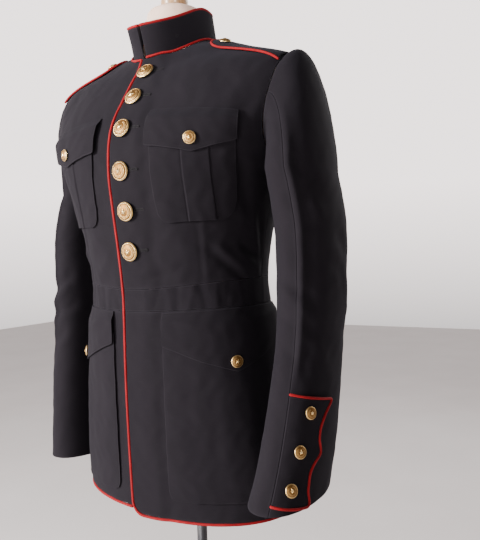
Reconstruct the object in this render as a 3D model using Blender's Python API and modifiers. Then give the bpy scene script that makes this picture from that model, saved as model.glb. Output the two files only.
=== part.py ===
"""A military dress jacket on a limbless dress form.

Metres, +Z up. The origin is on the floor under the middle of the whole object's box.
The wearer's left is +X and the jacket's front faces -Y.
The torso cloth is one smooth body surface, given by level rings. Each pattern piece is a
patch of that surface with a real wall, and what is sewn on lies on the surface, moved out.
"""

import math

import bpy
import numpy as np
from mathutils import Vector

# Driving sizes
HEM_HEIGHT = 0.550  # the jacket's hem above the floor
CLOTH = 0.0020  # wool cloth with its inner layers
COLLAR_CLOTH = 0.0030
SEAM = 0.0003  # gap between sewn pieces
PATCH_LIFT = 0.0008  # under side of a patch above the panel it is sewn on
PATCH = 0.0015
FLAP_LIFT = PATCH_LIFT + PATCH + 0.0012
PIPING_RADIUS = 0.0019
UNDERLAP = 0.022  # the right front runs this far under it
LAP_LIFT = 0.0027  # outer face of the left front above the body surface, at the lap
LAP_FADE = (0.024, 0.044)  # where the lap's lift fades to nothing, from the centre line
BAND_TOP = 0.311  # waistband seams, above the hem
BAND_LOW = 0.281
RIGHT_HEM_RISE = 0.007  # the right front is a little shorter
FORM_GAP = 0.005  # form to the cloth's inner face
SHOULDER_GAP = 0.0022  # the same where the coat hangs from the form's shoulders
BUTTON_RADIUS = 0.0127
SMALL_RADIUS = 0.0083

# Level rings of the torso cloth, heights above the hem
LEVEL_COLUMNS = ("z_front", "z_side", "z_back", "half_width", "front", "side", "back", "n_front", "n_back")
LEVELS = (
    ("hem", 0.000, -0.004, -0.008, 0.172, -0.113, 0.016, 0.140, 2.25, 2.2),
    ("skirt", 0.095, 0.092, 0.090, 0.163, -0.117, 0.008, 0.130, 2.25, 2.2),
    ("hip", 0.190, 0.190, 0.190, 0.152, -0.119, -0.002, 0.112, 2.25, 2.2),
    ("band_low", 0.281, 0.286, 0.290, 0.141, -0.118, -0.010, 0.088, 2.2, 2.2),
    ("band_top", 0.311, 0.322, 0.326, 0.139, -0.119, -0.012, 0.083, 2.2, 2.2),
    ("rib", 0.365, 0.372, 0.376, 0.145, -0.126, -0.012, 0.087, 2.2, 2.2),
    ("bust", 0.415, 0.420, 0.425, 0.155, -0.134, -0.012, 0.098, 2.25, 2.3),
    ("chest", 0.469, 0.470, 0.475, 0.168, -0.141, -0.010, 0.108, 2.35, 2.4),
    ("armpit", 0.520, 0.515, 0.522, 0.190, -0.136, -0.006, 0.112, 2.5, 2.5),
    ("blade", 0.560, 0.566, 0.574, 0.210, -0.116, -0.002, 0.108, 2.25, 2.5),
    ("tip", 0.592, 0.610, 0.620, 0.205, -0.098, 0.002, 0.095, 1.95, 2.3),
    ("mid", 0.610, 0.640, 0.656, 0.132, -0.086, 0.005, 0.078, 1.75, 2.1),
    ("neck", 0.630, 0.667, 0.682, 0.060, -0.078, 0.004, 0.060, 1.85, 2.1),
)
ROWS = np.array([row[1:] for row in LEVELS])
NECK_LEVEL = len(LEVELS) - 1.0
ARM_POINT = np.array([0.1895, 0.0, 0.600])  # a point of the left armhole's plane
ARM_SLOPE = 0.15  # how far the plane leans out per metre of height
ARM_NORMAL = np.array([1.0, 0.0, -ARM_SLOPE]) / math.hypot(1.0, ARM_SLOPE)


def spline_rows(rows, level):
    """Catmull-Rom values of a table's columns at one level or many."""
    level = np.clip(np.asarray(level, float), 0, len(rows) - 1)
    low = np.minimum(level.astype(int), len(rows) - 2)
    f = (level - low)[..., None]
    p1, p2 = rows[low], rows[low + 1]
    before = rows[np.maximum(low - 1, 0)]
    after = rows[np.minimum(low + 2, len(rows) - 1)]
    m1, m2 = (p2 - before) / 2, (after - p1) / 2
    return (
        (2 * f**3 - 3 * f**2 + 1) * p1
        + (f**3 - 2 * f**2 + f) * m1
        + (3 * f**2 - 2 * f**3) * p2
        + (f**3 - f**2) * m2
    )


def torso(angle, level):
    """Points of the body surface. Angle 0 is the centre front and pi/2 the wearer's left side."""
    angle, level = np.broadcast_arrays(np.asarray(angle, float), np.asarray(level, float))
    row = spline_rows(ROWS, level)
    z_front, z_side, z_back, wide, front, side, back, n_front, n_back = np.moveaxis(row, -1, 0)
    c, s = np.cos(angle), np.sin(angle)
    ahead = c >= 0
    deep = np.where(ahead, side - front, back - side)
    n = np.where(ahead, n_front, n_back)
    reach = (np.abs(c / deep) ** n + np.abs(s / wide) ** n) ** (-1 / n)
    z_end = np.where(ahead, z_front, z_back)
    z = z_end * c**2 + z_side * s**2
    return np.stack([reach * s, side - reach * c, z], -1)


def unit(v):
    return v / np.linalg.norm(v, axis=-1, keepdims=True)


def torso_normal(angle, level):
    angle, level = np.broadcast_arrays(np.asarray(angle, float), np.asarray(level, float))
    step = 1e-3
    up = np.minimum(level + step, NECK_LEVEL)
    down = np.maximum(level - step, 0)
    along = torso(angle + step, level) - torso(angle - step, level)
    rise = torso(angle, up) - torso(angle, down)
    return unit(np.cross(along, rise))


LEVEL_TABLE = np.linspace(0, NECK_LEVEL, 600)
FRONT_HEIGHTS = spline_rows(ROWS, LEVEL_TABLE)[:, 0]


def level_at(z):
    """The level whose ring crosses the centre front at this height above the hem."""
    return np.interp(z, FRONT_HEIGHTS, LEVEL_TABLE)


RING_ANGLES = np.linspace(0, math.pi, 361)


def ring_lengths(level):
    """Distances round one ring from the centre front, at RING_ANGLES."""
    ring = torso(RING_ANGLES, level)
    return np.concatenate([[0], np.cumsum(np.linalg.norm(np.diff(ring, axis=0), axis=1))])


def angle_at(distance, level):
    """The angle this far round from the centre front; the wearer's right is negative."""
    found = np.interp(np.abs(distance), ring_lengths(level), RING_ANGLES)
    return np.sign(distance) * found


def distance_at(angle, level):
    return np.sign(angle) * np.interp(np.abs(angle), RING_ANGLES, ring_lengths(level))


def on_body(distance, z, lift=0.0):
    """A point and its normal on the body, by distance round from the centre front and height."""
    level = float(level_at(z))
    angle = float(angle_at(distance, level))
    normal = torso_normal(angle, level)
    return torso(angle, level) + normal * lift, normal


def smooth(f):
    f = np.clip(f, 0, 1)
    return f * f * (3 - 2 * f)


def table_value(rows, at):
    """Straight-line value of a two-column table."""
    xs, ys = zip(*rows)
    return float(np.interp(at, xs, ys))


# Scene helpers


def clear_scene():
    for obj in list(bpy.data.objects):
        bpy.data.objects.remove(obj, do_unlink=True)


def material(name, colour, roughness, metallic=0.0):
    made = bpy.data.materials.new(name)
    made.use_nodes = True
    shader = made.node_tree.nodes["Principled BSDF"]
    shader.inputs["Base Color"].default_value = (*colour, 1.0)
    shader.inputs["Roughness"].default_value = roughness
    shader.inputs["Metallic"].default_value = metallic
    return made


def add(obj, paint):
    obj.data.materials.append(paint)
    PARTS.objects.link(obj)
    return obj


def mesh_object(name, vertices, faces, paint, smooth_angle=40):
    mesh = bpy.data.meshes.new(name)
    lifted = np.asarray(vertices) + (0, 0, HEM_HEIGHT)
    mesh.from_pydata(lifted.tolist(), [], faces)
    mesh.shade_smooth()
    mesh.set_sharp_from_angle(angle=math.radians(smooth_angle))
    return add(bpy.data.objects.new(name, mesh), paint)


def wall(name, outer, inner, paint, flip=False):
    """A cloth wall between two equal grids of points, closed round its four edges."""
    rows, columns = outer.shape[:2]
    count = rows * columns

    def at(i, j, side):
        return side * count + i * columns + j

    faces = []
    for i in range(rows - 1):
        for j in range(columns - 1):
            corners = ((i, j), (i, j + 1), (i + 1, j + 1), (i + 1, j))
            faces.append([at(a, b, 0) for a, b in corners])
            faces.append([at(a, b, 1) for a, b in reversed(corners)])
    rim = [(0, j) for j in range(columns - 1)]
    rim += [(i, columns - 1) for i in range(rows - 1)]
    rim += [(rows - 1, j) for j in range(columns - 1, 0, -1)]
    rim += [(i, 0) for i in range(rows - 1, 0, -1)]
    for a, b in zip(rim, rim[1:] + rim[:1]):
        faces.append([at(*b, 0), at(*a, 0), at(*a, 1), at(*b, 1)])
    if flip:
        faces = [face[::-1] for face in faces]
    points = np.concatenate([outer.reshape(-1, 3), inner.reshape(-1, 3)])
    return mesh_object(name, points, faces, paint)


def tube(name, points, radius, paint):
    """A round cord through smooth points, with closed ends."""
    curve = bpy.data.curves.new(name, "CURVE")
    curve.dimensions = "3D"
    curve.bevel_depth = radius
    curve.bevel_resolution = 1
    curve.use_fill_caps = True
    spline = curve.splines.new("POLY")
    spline.points.add(len(points) - 1)
    for place, point in zip(spline.points, points):
        place.co = (point[0], point[1], point[2] + HEM_HEIGHT, 1)
    return add(bpy.data.objects.new(name, curve), paint)


def turned(name, profile, steps, paint, centre=(0, 0, 0), axis=(0, 0, 1)):
    """A solid turned from a profile of (radius, height), its outer side listed from top to bottom."""
    mesh = bpy.data.meshes.new(name)
    mesh.from_pydata([(r, 0, h) for r, h in profile], [(i, i + 1) for i in range(len(profile) - 1)], [])
    obj = add(bpy.data.objects.new(name, mesh), paint)
    obj.location = Vector(centre) + Vector((0, 0, HEM_HEIGHT))
    obj.rotation_mode = "QUATERNION"
    obj.rotation_quaternion = Vector((0, 0, 1)).rotation_difference(Vector(axis))
    screw = obj.modifiers.new("turn", "SCREW")
    screw.steps = screw.render_steps = steps
    screw.use_merge_vertices = True
    screw.merge_threshold = 0.00005
    screw.use_smooth_shade = True
    return obj


def centre_on_origin():
    """Moves everything sideways so that the middle of the whole box is over the origin."""
    bpy.context.view_layer.update()
    corners = [obj.matrix_world @ Vector(c) for obj in PARTS.objects for c in obj.bound_box]
    middle = [(min(c[i] for c in corners) + max(c[i] for c in corners)) / 2 for i in (0, 1)]
    for obj in PARTS.objects:
        obj.location.x -= middle[0]
        obj.location.y -= middle[1]


clear_scene()
PARTS = bpy.data.collections.new("jacket_on_form")
bpy.context.scene.collection.children.link(PARTS)
WOOL = material("navy_wool", (0.012, 0.013, 0.022), 0.9)
RED = material("red_piping", (0.42, 0.012, 0.014), 0.75)
GILT = material("gilt_metal", (0.80, 0.52, 0.16), 0.3, 1.0)
JERSEY = material("cream_jersey", (0.70, 0.56, 0.42), 0.9)
WOOD = material("turned_wood", (0.36, 0.20, 0.09), 0.5)
STEEL = material("dark_steel", (0.10, 0.10, 0.11), 0.4, 1.0)


# The armhole: where a leaning plane meets the body surface


def beyond_arm(point):
    """How far a point of the wearer's left half is outside the armhole's plane."""
    return (np.asarray(point) - ARM_POINT) @ ARM_NORMAL


def bisect(f, low, high):
    """Where f changes sign between low and high."""
    start = f(low) > 0
    for _ in range(40):
        middle = (low + high) / 2
        if (f(middle) > 0) == start:
            low = middle
        else:
            high = middle
    return (low + high) / 2


ARM_MIDDLE = 9.0
ARM_LOW = bisect(lambda v: beyond_arm(torso(math.pi / 2, v)), 6.0, ARM_MIDDLE)
ARM_HIGH = bisect(lambda v: beyond_arm(torso(math.pi / 2, v)), ARM_MIDDLE, 11.0)


def arm_angle(level, back):
    """The angle at which a level ring crosses the armhole plane, ahead of the side or behind it."""
    if level <= ARM_LOW or level >= ARM_HIGH:
        return math.pi / 2
    far = 2.9 if back else 0.25
    return bisect(lambda a: beyond_arm(torso(a, level)), math.pi / 2, far)


def in_arm_plane(points, normals, shift, depth):
    """Edge points of the outer and the inner face, both in the armhole plane moved out by shift."""
    leaning = normals @ ARM_NORMAL
    in_plane = normals - leaning[..., None] * ARM_NORMAL
    reach = np.minimum(depth / (1 - leaning**2), 2.2 * depth)
    outer = points + ARM_NORMAL * shift
    return outer, outer - in_plane * reach[..., None]


def mirror(points, side):
    """The wearer's left is side +1; the right is its mirror image."""
    return points * np.array([side, 1.0, 1.0])


# Body panels


def lap_lift(distance):
    """Outer face of the left front above the body surface."""
    near, far = LAP_FADE
    return LAP_LIFT * (1 - smooth((distance - near) / (far - near)))


EDGE_ROWS = ((0.0, 0.0170), (0.30, 0.0170), (0.43, 0.0150), (0.50, 0.0140),
             (0.547, 0.0125), (0.58, 0.0070), (0.602, 0.0040), (0.630, 0.0012))


def front_edge(z):
    """Distance of the left front edge past the centre line, at a height above the hem."""
    return table_value(EDGE_ROWS, z)


def front_z(level):
    return float(np.interp(level, LEVEL_TABLE, FRONT_HEIGHTS))


def surface_patch(angle_rows, level_rows, lifts, depth):
    """Outer and inner point grids of a patch given by angle and level, and its normals."""
    normals = torso_normal(angle_rows, level_rows)
    outer = torso(angle_rows, level_rows) + normals * lifts[..., None]
    return outer, outer - normals * depth, normals


def spread(start, end, columns, lift):
    """Column distances of a panel, with columns of their own where the lap's lift fades."""
    if lift is None:
        return np.linspace(start, end, columns + 1)
    near, far = LAP_FADE
    return np.concatenate([np.linspace(start, near, 3), np.linspace(far, end, columns - 2)])


def body_panel(name, side, back, levels, columns, edge=None, lift=None, edges_in=SEAM / 2):
    """A body piece from the centre line, or from a front edge, to the side seam or armhole."""
    angles = np.zeros((len(levels), columns + 1))
    rows = np.repeat(np.array(levels)[:, None], columns + 1, axis=1)
    distances = np.zeros_like(angles)
    at_arm = []
    for i, level in enumerate(levels):
        lengths = ring_lengths(level)
        outer_angle = arm_angle(level, back)
        in_arm = ARM_LOW < level < ARM_HIGH
        at_arm.append(in_arm)
        end = np.interp(outer_angle, RING_ANGLES, lengths)
        if back:
            start = lengths[-1] - edges_in
            end += 0 if in_arm else edges_in
        else:
            start = edge(front_z(level))
            end -= 0 if in_arm else edges_in
        distances[i] = spread(start, end, columns, lift)
        found = np.interp(np.abs(distances[i]), lengths, RING_ANGLES)
        angles[i] = np.sign(distances[i]) * found
        angles[i][distances[i] == 0] = 0
    lifts = np.zeros_like(angles) if lift is None else lift(distances)
    outer, inner, normals = surface_patch(angles, rows, lifts, CLOTH)
    inside = np.array(at_arm)
    o, n = in_arm_plane(outer[inside, -1], normals[inside, -1], -SEAM / 2, CLOTH)
    outer[inside, -1], inner[inside, -1] = o, n
    return wall(name, mirror(outer, side), mirror(inner, side), WOOL, flip=(side < 0) != back)


def left_edge(z):
    return -front_edge(z)


def right_edge(z):
    """The right front runs on under the left one; in its own mirror image this is negative."""
    return -UNDERLAP * smooth((0.650 - z) / 0.030) - 0.0


UPPER_LEVELS = [level_at(BAND_TOP + SEAM / 2), 4.5, 5.0, 5.5, 6.0]
ARM_ROWS = 8
UPPER_LEVELS += [ARM_LOW + (ARM_HIGH - ARM_LOW) * (1 - math.cos(math.pi * k / ARM_ROWS)) / 2
                 for k in range(ARM_ROWS + 1)]
UPPER_LEVELS += [(ARM_HIGH + NECK_LEVEL) / 2, NECK_LEVEL]

body_panel("front_left", 1, False, UPPER_LEVELS, 11, left_edge, lap_lift)
body_panel("front_right", -1, False, UPPER_LEVELS, 11, right_edge)
body_panel("back_left", 1, True, UPPER_LEVELS, 9)
body_panel("back_right", -1, True, UPPER_LEVELS, 9)


# Waistband, one piece a side from the front edge to the centre back


def waistband(name, side, start, lift=None):
    levels = [level_at(BAND_TOP - SEAM / 2), level_at(BAND_LOW + SEAM / 2)][::-1]
    columns = 22
    angles = np.zeros((2, columns + 1))
    distances = np.zeros_like(angles)
    for i, level in enumerate(levels):
        lengths = ring_lengths(level)
        distances[i] = spread(start(front_z(level)), lengths[-1] - SEAM / 2, columns, lift)
        angles[i] = np.sign(distances[i]) * np.interp(np.abs(distances[i]), lengths, RING_ANGLES)
    rows = np.repeat(np.array(levels)[:, None], columns + 1, axis=1)
    lifts = np.zeros_like(angles) if lift is None else lift(distances)
    outer, inner, _ = surface_patch(angles, rows, lifts, CLOTH)
    return wall(name, mirror(outer, side), mirror(inner, side), WOOL, flip=side < 0)


waistband("waistband_left", 1, left_edge, lap_lift)
waistband("waistband_right", -1, right_edge)


# Skirts, from the waistband to the hem


CORNER = 0.016  # radius of the front lower corners
SKIRT_LEVELS = [0.0, 0.34, 1.0, 1.6, 2.1, 2.5, level_at(BAND_LOW - SEAM / 2)]
SIDE_RISE = 0.015  # how far the wearer's right side is hitched up


def no_rise(angle):
    return 0.0 * angle


def right_rise(angle):
    ahead = RIGHT_HEM_RISE + (SIDE_RISE - RIGHT_HEM_RISE) * smooth(np.abs(angle) / 1.2)
    behind = SIDE_RISE * (1 - smooth((angle - math.pi / 2) / 1.4))
    return np.where(angle < math.pi / 2 - 0.01, ahead, behind)


def skirt(name, side, back, start=None, lift=None, rise=no_rise, steps=11):
    distances = []
    levels = []
    for k, level in enumerate(SKIRT_LEVELS):
        z = front_z(level)
        lengths = ring_lengths(level)
        side_end = np.interp(math.pi / 2, RING_ANGLES, lengths)
        if back:
            row = np.linspace(lengths[-1] - SEAM / 2, side_end + SEAM / 2, steps + 1)
        else:
            first = start(z)
            near = first + CORNER * np.array([0.0, 0.12, 0.40, 1.0])
            rest = spread(near[-1], side_end - SEAM / 2, steps - 2, lift)
            row = np.concatenate([near, rest[1:]])
        zs = np.full(len(row), z)
        if k == 0:
            zs = zs + rise(np.interp(np.abs(row), lengths, RING_ANGLES))
            if not back:
                gap = np.clip(1 - (row - first) / CORNER, 0, 1)
                zs = zs + CORNER * (1 - np.sqrt(1 - gap**2))
        distances.append(row)
        levels.append(level_at(zs))
    distances, levels = np.array(distances), np.array(levels)
    angles = np.zeros_like(distances)
    for i in range(len(distances)):
        for j in range(distances.shape[1]):
            angles[i, j] = angle_at(distances[i, j], levels[i, j])
    lifts = np.zeros_like(angles) if lift is None else lift(distances)
    outer, inner, _ = surface_patch(angles, levels, lifts, CLOTH)
    return wall(name, mirror(outer, side), mirror(inner, side), WOOL, flip=(side < 0) != back)


skirt("skirt_front_left", 1, False, left_edge, lap_lift)
skirt("skirt_front_right", -1, False, right_edge, rise=right_rise)
skirt("skirt_back_left", 1, True)
skirt("skirt_back_right", -1, True, rise=right_rise)


# Sleeves: a turned-down tube from the armhole's loop to the cuff. The ring angle is 0 at the
# front and pi/2 on the outer side. Rows: height, drop at the front, centre x and y, half sizes.

LEFT_SLEEVE = np.array([
    (0.4600, 0.0000, 0.2095, -0.021, 0.0385, 0.0765),
    (0.4200, 0.0000, 0.2135, -0.014, 0.0395, 0.0750),
    (0.3750, 0.0000, 0.2165, -0.012, 0.0400, 0.0720),
    (0.3000, 0.0020, 0.2165, -0.0175, 0.0385, 0.0680),
    (0.2350, 0.0040, 0.2150, -0.025, 0.0370, 0.0670),
    (0.1700, 0.0060, 0.2135, -0.041, 0.0380, 0.0700),
    (0.1000, 0.0060, 0.2110, -0.064, 0.0390, 0.0745),
    (0.0570, 0.0010, 0.2095, -0.0870, 0.0400, 0.0790),
])
RIGHT_SLEEVE = np.array([
    (0.4600, 0.0000, 0.2060, 0.030, 0.0330, 0.0620),
    (0.4200, 0.0000, 0.2120, 0.026, 0.0345, 0.0650),
    (0.3750, 0.0000, 0.2130, 0.020, 0.0350, 0.0660),
    (0.3000, 0.0000, 0.2090, 0.015, 0.0355, 0.0665),
    (0.2350, 0.0000, 0.2090, 0.010, 0.0360, 0.0675),
    (0.1700, 0.0000, 0.2090, 0.005, 0.0370, 0.0700),
    (0.1000, 0.0010, 0.2090, 0.002, 0.0375, 0.0720),
    (0.0340, 0.0020, 0.2090, 0.000, 0.0385, 0.0740),
])
SLEEVE_FULLNESS = 2.2
# Strength of a sleeve head's outward start, of its downward end and of the roll over its top
LEFT_HEAD = (0.45, 1.10, 0.80)
RIGHT_HEAD = (0.20, 0.90, 0.0)

loop_levels = (ARM_LOW + ARM_HIGH) / 2 - (ARM_HIGH - ARM_LOW) / 2 * np.cos(np.linspace(0, math.pi, 81))
front_loop = [(arm_angle(v, False), v) for v in loop_levels]
back_loop = [(arm_angle(v, True), v) for v in loop_levels[::-1]]
LOOP = np.array(front_loop + back_loop[1:-1])
LOOP_POINTS = torso(LOOP[:, 0], LOOP[:, 1])
LOOP_NORMALS = torso_normal(LOOP[:, 0], LOOP[:, 1])
PLANE_UP = np.array([ARM_SLOPE, 0, 1]) / math.hypot(1, ARM_SLOPE)
across = -LOOP_POINTS[:, 1]
upward = LOOP_POINTS @ PLANE_UP
across = (across - (across.max() + across.min()) / 2) / np.ptp(across)
upward = (upward - (upward.max() + upward.min()) / 2) / np.ptp(upward)
LOOP_TURNS = np.unwrap(np.arctan2(upward, across))


def arm_loop(turn):
    """Point and body normal of the armhole at this ring angle."""
    around = np.mod(turn - LOOP_TURNS[0], 2 * math.pi) + LOOP_TURNS[0]
    turns = np.append(LOOP_TURNS, LOOP_TURNS[0] + 2 * math.pi)
    points = np.vstack([LOOP_POINTS, LOOP_POINTS[:1]])
    normals = np.vstack([LOOP_NORMALS, LOOP_NORMALS[:1]])
    point = np.stack([np.interp(around, turns, points[:, k]) for k in range(3)], -1)
    normal = np.stack([np.interp(around, turns, normals[:, k]) for k in range(3)], -1)
    return point, unit(normal)


def sleeve_row(rows, turn, index):
    """A point of the sleeve below the biceps, by ring angle and row."""
    z, drop, cx, cy, hx, hy = np.moveaxis(spline_rows(rows, index), -1, 0)
    s, c = np.sin(turn), np.cos(turn)
    power = 2 / SLEEVE_FULLNESS
    x = cx + hx * np.sign(s) * np.abs(s) ** power
    y = cy - hy * np.sign(c) * np.abs(c) ** power
    return np.stack([x, y, z + drop * c], -1)


def sleeve(rows, turn, at):
    """A point of a sleeve's outer face; at is 0 at the armhole, 1 at the biceps, then one a row."""
    turn, at = np.broadcast_arrays(np.asarray(turn, float), np.asarray(at, float))
    low = sleeve_row(rows, turn, np.maximum(at - 1, 0))
    start = arm_loop(turn)[0] + ARM_NORMAL * SEAM / 2
    end = sleeve_row(rows, turn, np.zeros_like(at))
    reach = np.linalg.norm(end - start, axis=-1, keepdims=True)
    f = np.clip(at, 0, 1)[..., None]
    out, drop, roll = LEFT_HEAD if rows is LEFT_SLEEVE else RIGHT_HEAD
    top = np.maximum(np.sin(turn), 0)[..., None] ** 3
    away = out * ARM_NORMAL + roll * top * np.array([0, 0, 1.0])
    head = (
        (2 * f**3 - 3 * f**2 + 1) * start
        + (f**3 - 2 * f**2 + f) * reach * away
        + (3 * f**2 - 2 * f**3) * end
        - (f**3 - f**2) * drop * reach * np.array([0, 0, 1.0])
    )
    return np.where((at < 1)[..., None], head, low)


def sleeve_normal(rows, turn, at):
    step = 1e-3
    last = float(len(rows))
    along = sleeve(rows, turn + step, at) - sleeve(rows, turn - step, at)
    down = sleeve(rows, turn, np.minimum(at + step, last)) - sleeve(rows, turn, np.maximum(at - step, 0))
    return unit(np.cross(down, along))


SLEEVE_RINGS = [0.0, 0.12, 0.28, 0.48, 0.72, 1.0, 2.0, 3.0, 4.0, 5.0, 6.0, 7.0, 8.0]
LEFT_SPREAD = (0.0, 0.035, 0.08, 0.14, 0.25, 0.40, 0.58, 0.75, 0.88, 0.96, 1.0)  # finer at the folds
RIGHT_SPREAD = (0.0, 0.12, 0.24, 0.38, 0.50, 0.57, 0.62, 0.68, 0.76, 0.88, 1.0)


def sleeve_half(name, side, rows, first, last, columns):
    """Half of a sleeve, between two lengthwise seams."""
    gap = SEAM / 2 / 0.05
    turns, ats = np.meshgrid(first + gap + (last - first - 2 * gap) * np.array(columns), SLEEVE_RINGS)
    outer = sleeve(rows, turns, ats)
    normals = sleeve_normal(rows, turns, ats)
    inner = outer - normals * CLOTH
    loop, loop_normals = arm_loop(turns[0])
    outer[0], inner[0] = in_arm_plane(loop, loop_normals, SEAM / 2, CLOTH)
    return wall(name, mirror(outer[::-1], side), mirror(inner[::-1], side), WOOL, flip=side < 0)


LEFT_SEAM = math.radians(10)
RIGHT_SEAM = math.radians(72)
sleeve_half("sleeve_left_outer", 1, LEFT_SLEEVE, LEFT_SEAM, LEFT_SEAM + math.pi, LEFT_SPREAD)
sleeve_half("sleeve_left_inner", 1, LEFT_SLEEVE, LEFT_SEAM + math.pi, LEFT_SEAM + 2 * math.pi, LEFT_SPREAD)
sleeve_half("sleeve_right_outer", -1, RIGHT_SLEEVE, RIGHT_SEAM, RIGHT_SEAM + math.pi, RIGHT_SPREAD)
sleeve_half("sleeve_right_inner", -1, RIGHT_SLEEVE, RIGHT_SEAM + math.pi,
            RIGHT_SEAM + 2 * math.pi, RIGHT_SPREAD)


# Collar, a standing band open at the centre front


COLLAR_TOP = {"z_front": 0.672, "z_side": 0.710, "z_back": 0.716, "half_width": 0.056,
              "front": -0.091, "side": 0.000, "back": 0.054}
COLLAR_END = 0.026  # angle of each end from the centre front


def collar_point(angle, f):
    """Outer face of the collar: f is 0 at the neck seam and 1 at the top edge."""
    angle, f = np.broadcast_arrays(np.asarray(angle, float), np.asarray(f, float))
    base = torso(angle, NECK_LEVEL)
    rise = unit(base - torso(angle, NECK_LEVEL - 0.05))
    base = base + rise * 0.0009
    c, s = np.cos(angle), np.sin(angle)
    top = COLLAR_TOP
    ahead = c >= 0
    deep = np.where(ahead, top["side"] - top["front"], top["back"] - top["side"])
    reach = (np.abs(c / deep) ** 2.05 + np.abs(s / top["half_width"]) ** 2.05) ** (-1 / 2.05)
    z = np.where(ahead, top["z_front"], top["z_back"]) * c**2 + top["z_side"] * s**2
    crest = np.stack([reach * s, top["side"] - reach * c, z], -1)
    f = f[..., None]
    return base * (1 - f) + crest * f


def collar_normal(angle, f):
    step = 1e-3
    along = collar_point(angle + step, f) - collar_point(angle - step, f)
    rise = collar_point(angle, np.minimum(f + step, 1)) - collar_point(angle, np.maximum(f - step, 0))
    return unit(np.cross(along, rise))


turns, heights = np.meshgrid(np.linspace(COLLAR_END, 2 * math.pi - COLLAR_END, 33), [0.0, 0.5, 1.0])
outer = collar_point(turns, heights)
wall("collar", outer, outer - collar_normal(turns, heights) * COLLAR_CLOTH, WOOL)


# The dress form and its stand


FORM_LOW = 0.120  # underside of the form above the hem
FORM_NECK = (0.0, -0.002)
FORM_PLATE = 0.008  # arm plates of the form inside the armhole planes
POLE = (0.0, 0.024)


def form_body():
    turns = np.linspace(0, 2 * math.pi, 25)[:-1]
    rings = []
    for level in np.linspace(level_at(FORM_LOW), NECK_LEVEL - 0.35, 15):
        gap = FORM_GAP + (SHOULDER_GAP - FORM_GAP) * smooth(level - 9.6)
        points = torso(turns, level) - torso_normal(turns, level) * (CLOTH + gap)
        rings.append(points)
    rings[0][:, 2] = FORM_LOW
    middle = np.array([0, -0.012, 0])
    rings.append((torso(turns, NECK_LEVEL) - middle) * (0.80, 0.82, 1) + middle - (0, 0, 0.006))
    for radius, z, f in ((0.047, 0.692, 0.5), (0.043, 0.706, 1.0), (0.041, 0.716, 1.0),
                         (0.034, 0.7215, 1.0), (0.020, 0.724, 1.0)):
        x, y = FORM_NECK[0] * f, FORM_NECK[1] * f
        rings.append(np.stack([x + radius * np.sin(turns), y - radius * np.cos(turns),
                               np.full(len(turns), z)], -1))
    count = len(turns)
    faces = []
    for i in range(len(rings) - 1):
        for j in range(count):
            k = (j + 1) % count
            faces.append([i * count + j, i * count + k, (i + 1) * count + k, (i + 1) * count + j])
    faces.append(list(range(count))[::-1])
    faces.append([(len(rings) - 1) * count + j for j in range(count)])
    body = mesh_object("form_body", np.concatenate(rings), faces, JERSEY)
    for side, label in ((1, "left"), (-1, "right")):
        size = 0.40
        at = ARM_POINT + ARM_NORMAL * (size / 2 - FORM_PLATE)
        bpy.ops.mesh.primitive_cube_add(size=size)
        cutter = bpy.context.object
        cutter.name = "arm_plate_cutter_" + label
        cutter.location = (side * at[0], at[1], at[2] + HEM_HEIGHT)
        cutter.rotation_euler = (0, side * math.atan(ARM_SLOPE), 0)
        cutter.hide_render = True
        cutter.hide_set(True)
        cut = body.modifiers.new("arm_plate_" + label, "BOOLEAN")
        cut.operation = "DIFFERENCE"
        cut.solver = "EXACT"
        cut.object = cutter
    return body


form_body()
turned("form_finial",
       [(0, 0.058), (0.007, 0.056), (0.012, 0.048), (0.009, 0.036), (0.006, 0.028),
        (0.010, 0.022), (0.019, 0.016), (0.020, 0.006), (0.018, 0), (0, 0)],
       14, WOOD, (*FORM_NECK, 0.7243))
turned("stand_pole",
       [(0, FORM_LOW - 0.0003), (0.008, FORM_LOW - 0.0003),
        (0.008, 0.0355 - HEM_HEIGHT), (0, 0.0355 - HEM_HEIGHT)],
       16, STEEL, (*POLE, 0))
turned("stand_base",
       [(0, 0.0352), (0.022, 0.0352), (0.026, 0.030), (0.030, 0.014), (0.165, 0.012),
        (0.178, 0.009), (0.180, 0.004), (0.180, 0), (0, 0)],
       32, STEEL, (*POLE, -HEM_HEIGHT))


# What is sewn on the body, given by distance round from the centre front and height


PLEAT = 0.0012  # how far a chest pocket's box pleat stands up
PLEAT_FOLDS = (0.0915, 0.0935, 0.1265, 0.1285)


def base_lift(side, distance):
    return float(lap_lift(distance)) if side > 0 else 0.0


def sewn_patch(name, side, distances, heights, lifts, depth=PATCH):
    """A patch on the body; lifts is its under side above the cloth, at each grid point."""
    outer = np.zeros((*distances.shape, 3))
    inner = np.zeros_like(outer)
    for i, j in np.ndindex(distances.shape):
        low = lifts[i, j] + base_lift(side, distances[i, j])
        point, normal = on_body(distances[i, j], heights[i, j])
        outer[i, j] = point + normal * (low + depth)
        inner[i, j] = point + normal * low
    return wall(name, mirror(outer[::-1], side), mirror(inner[::-1], side), WOOL, flip=side < 0)


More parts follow.
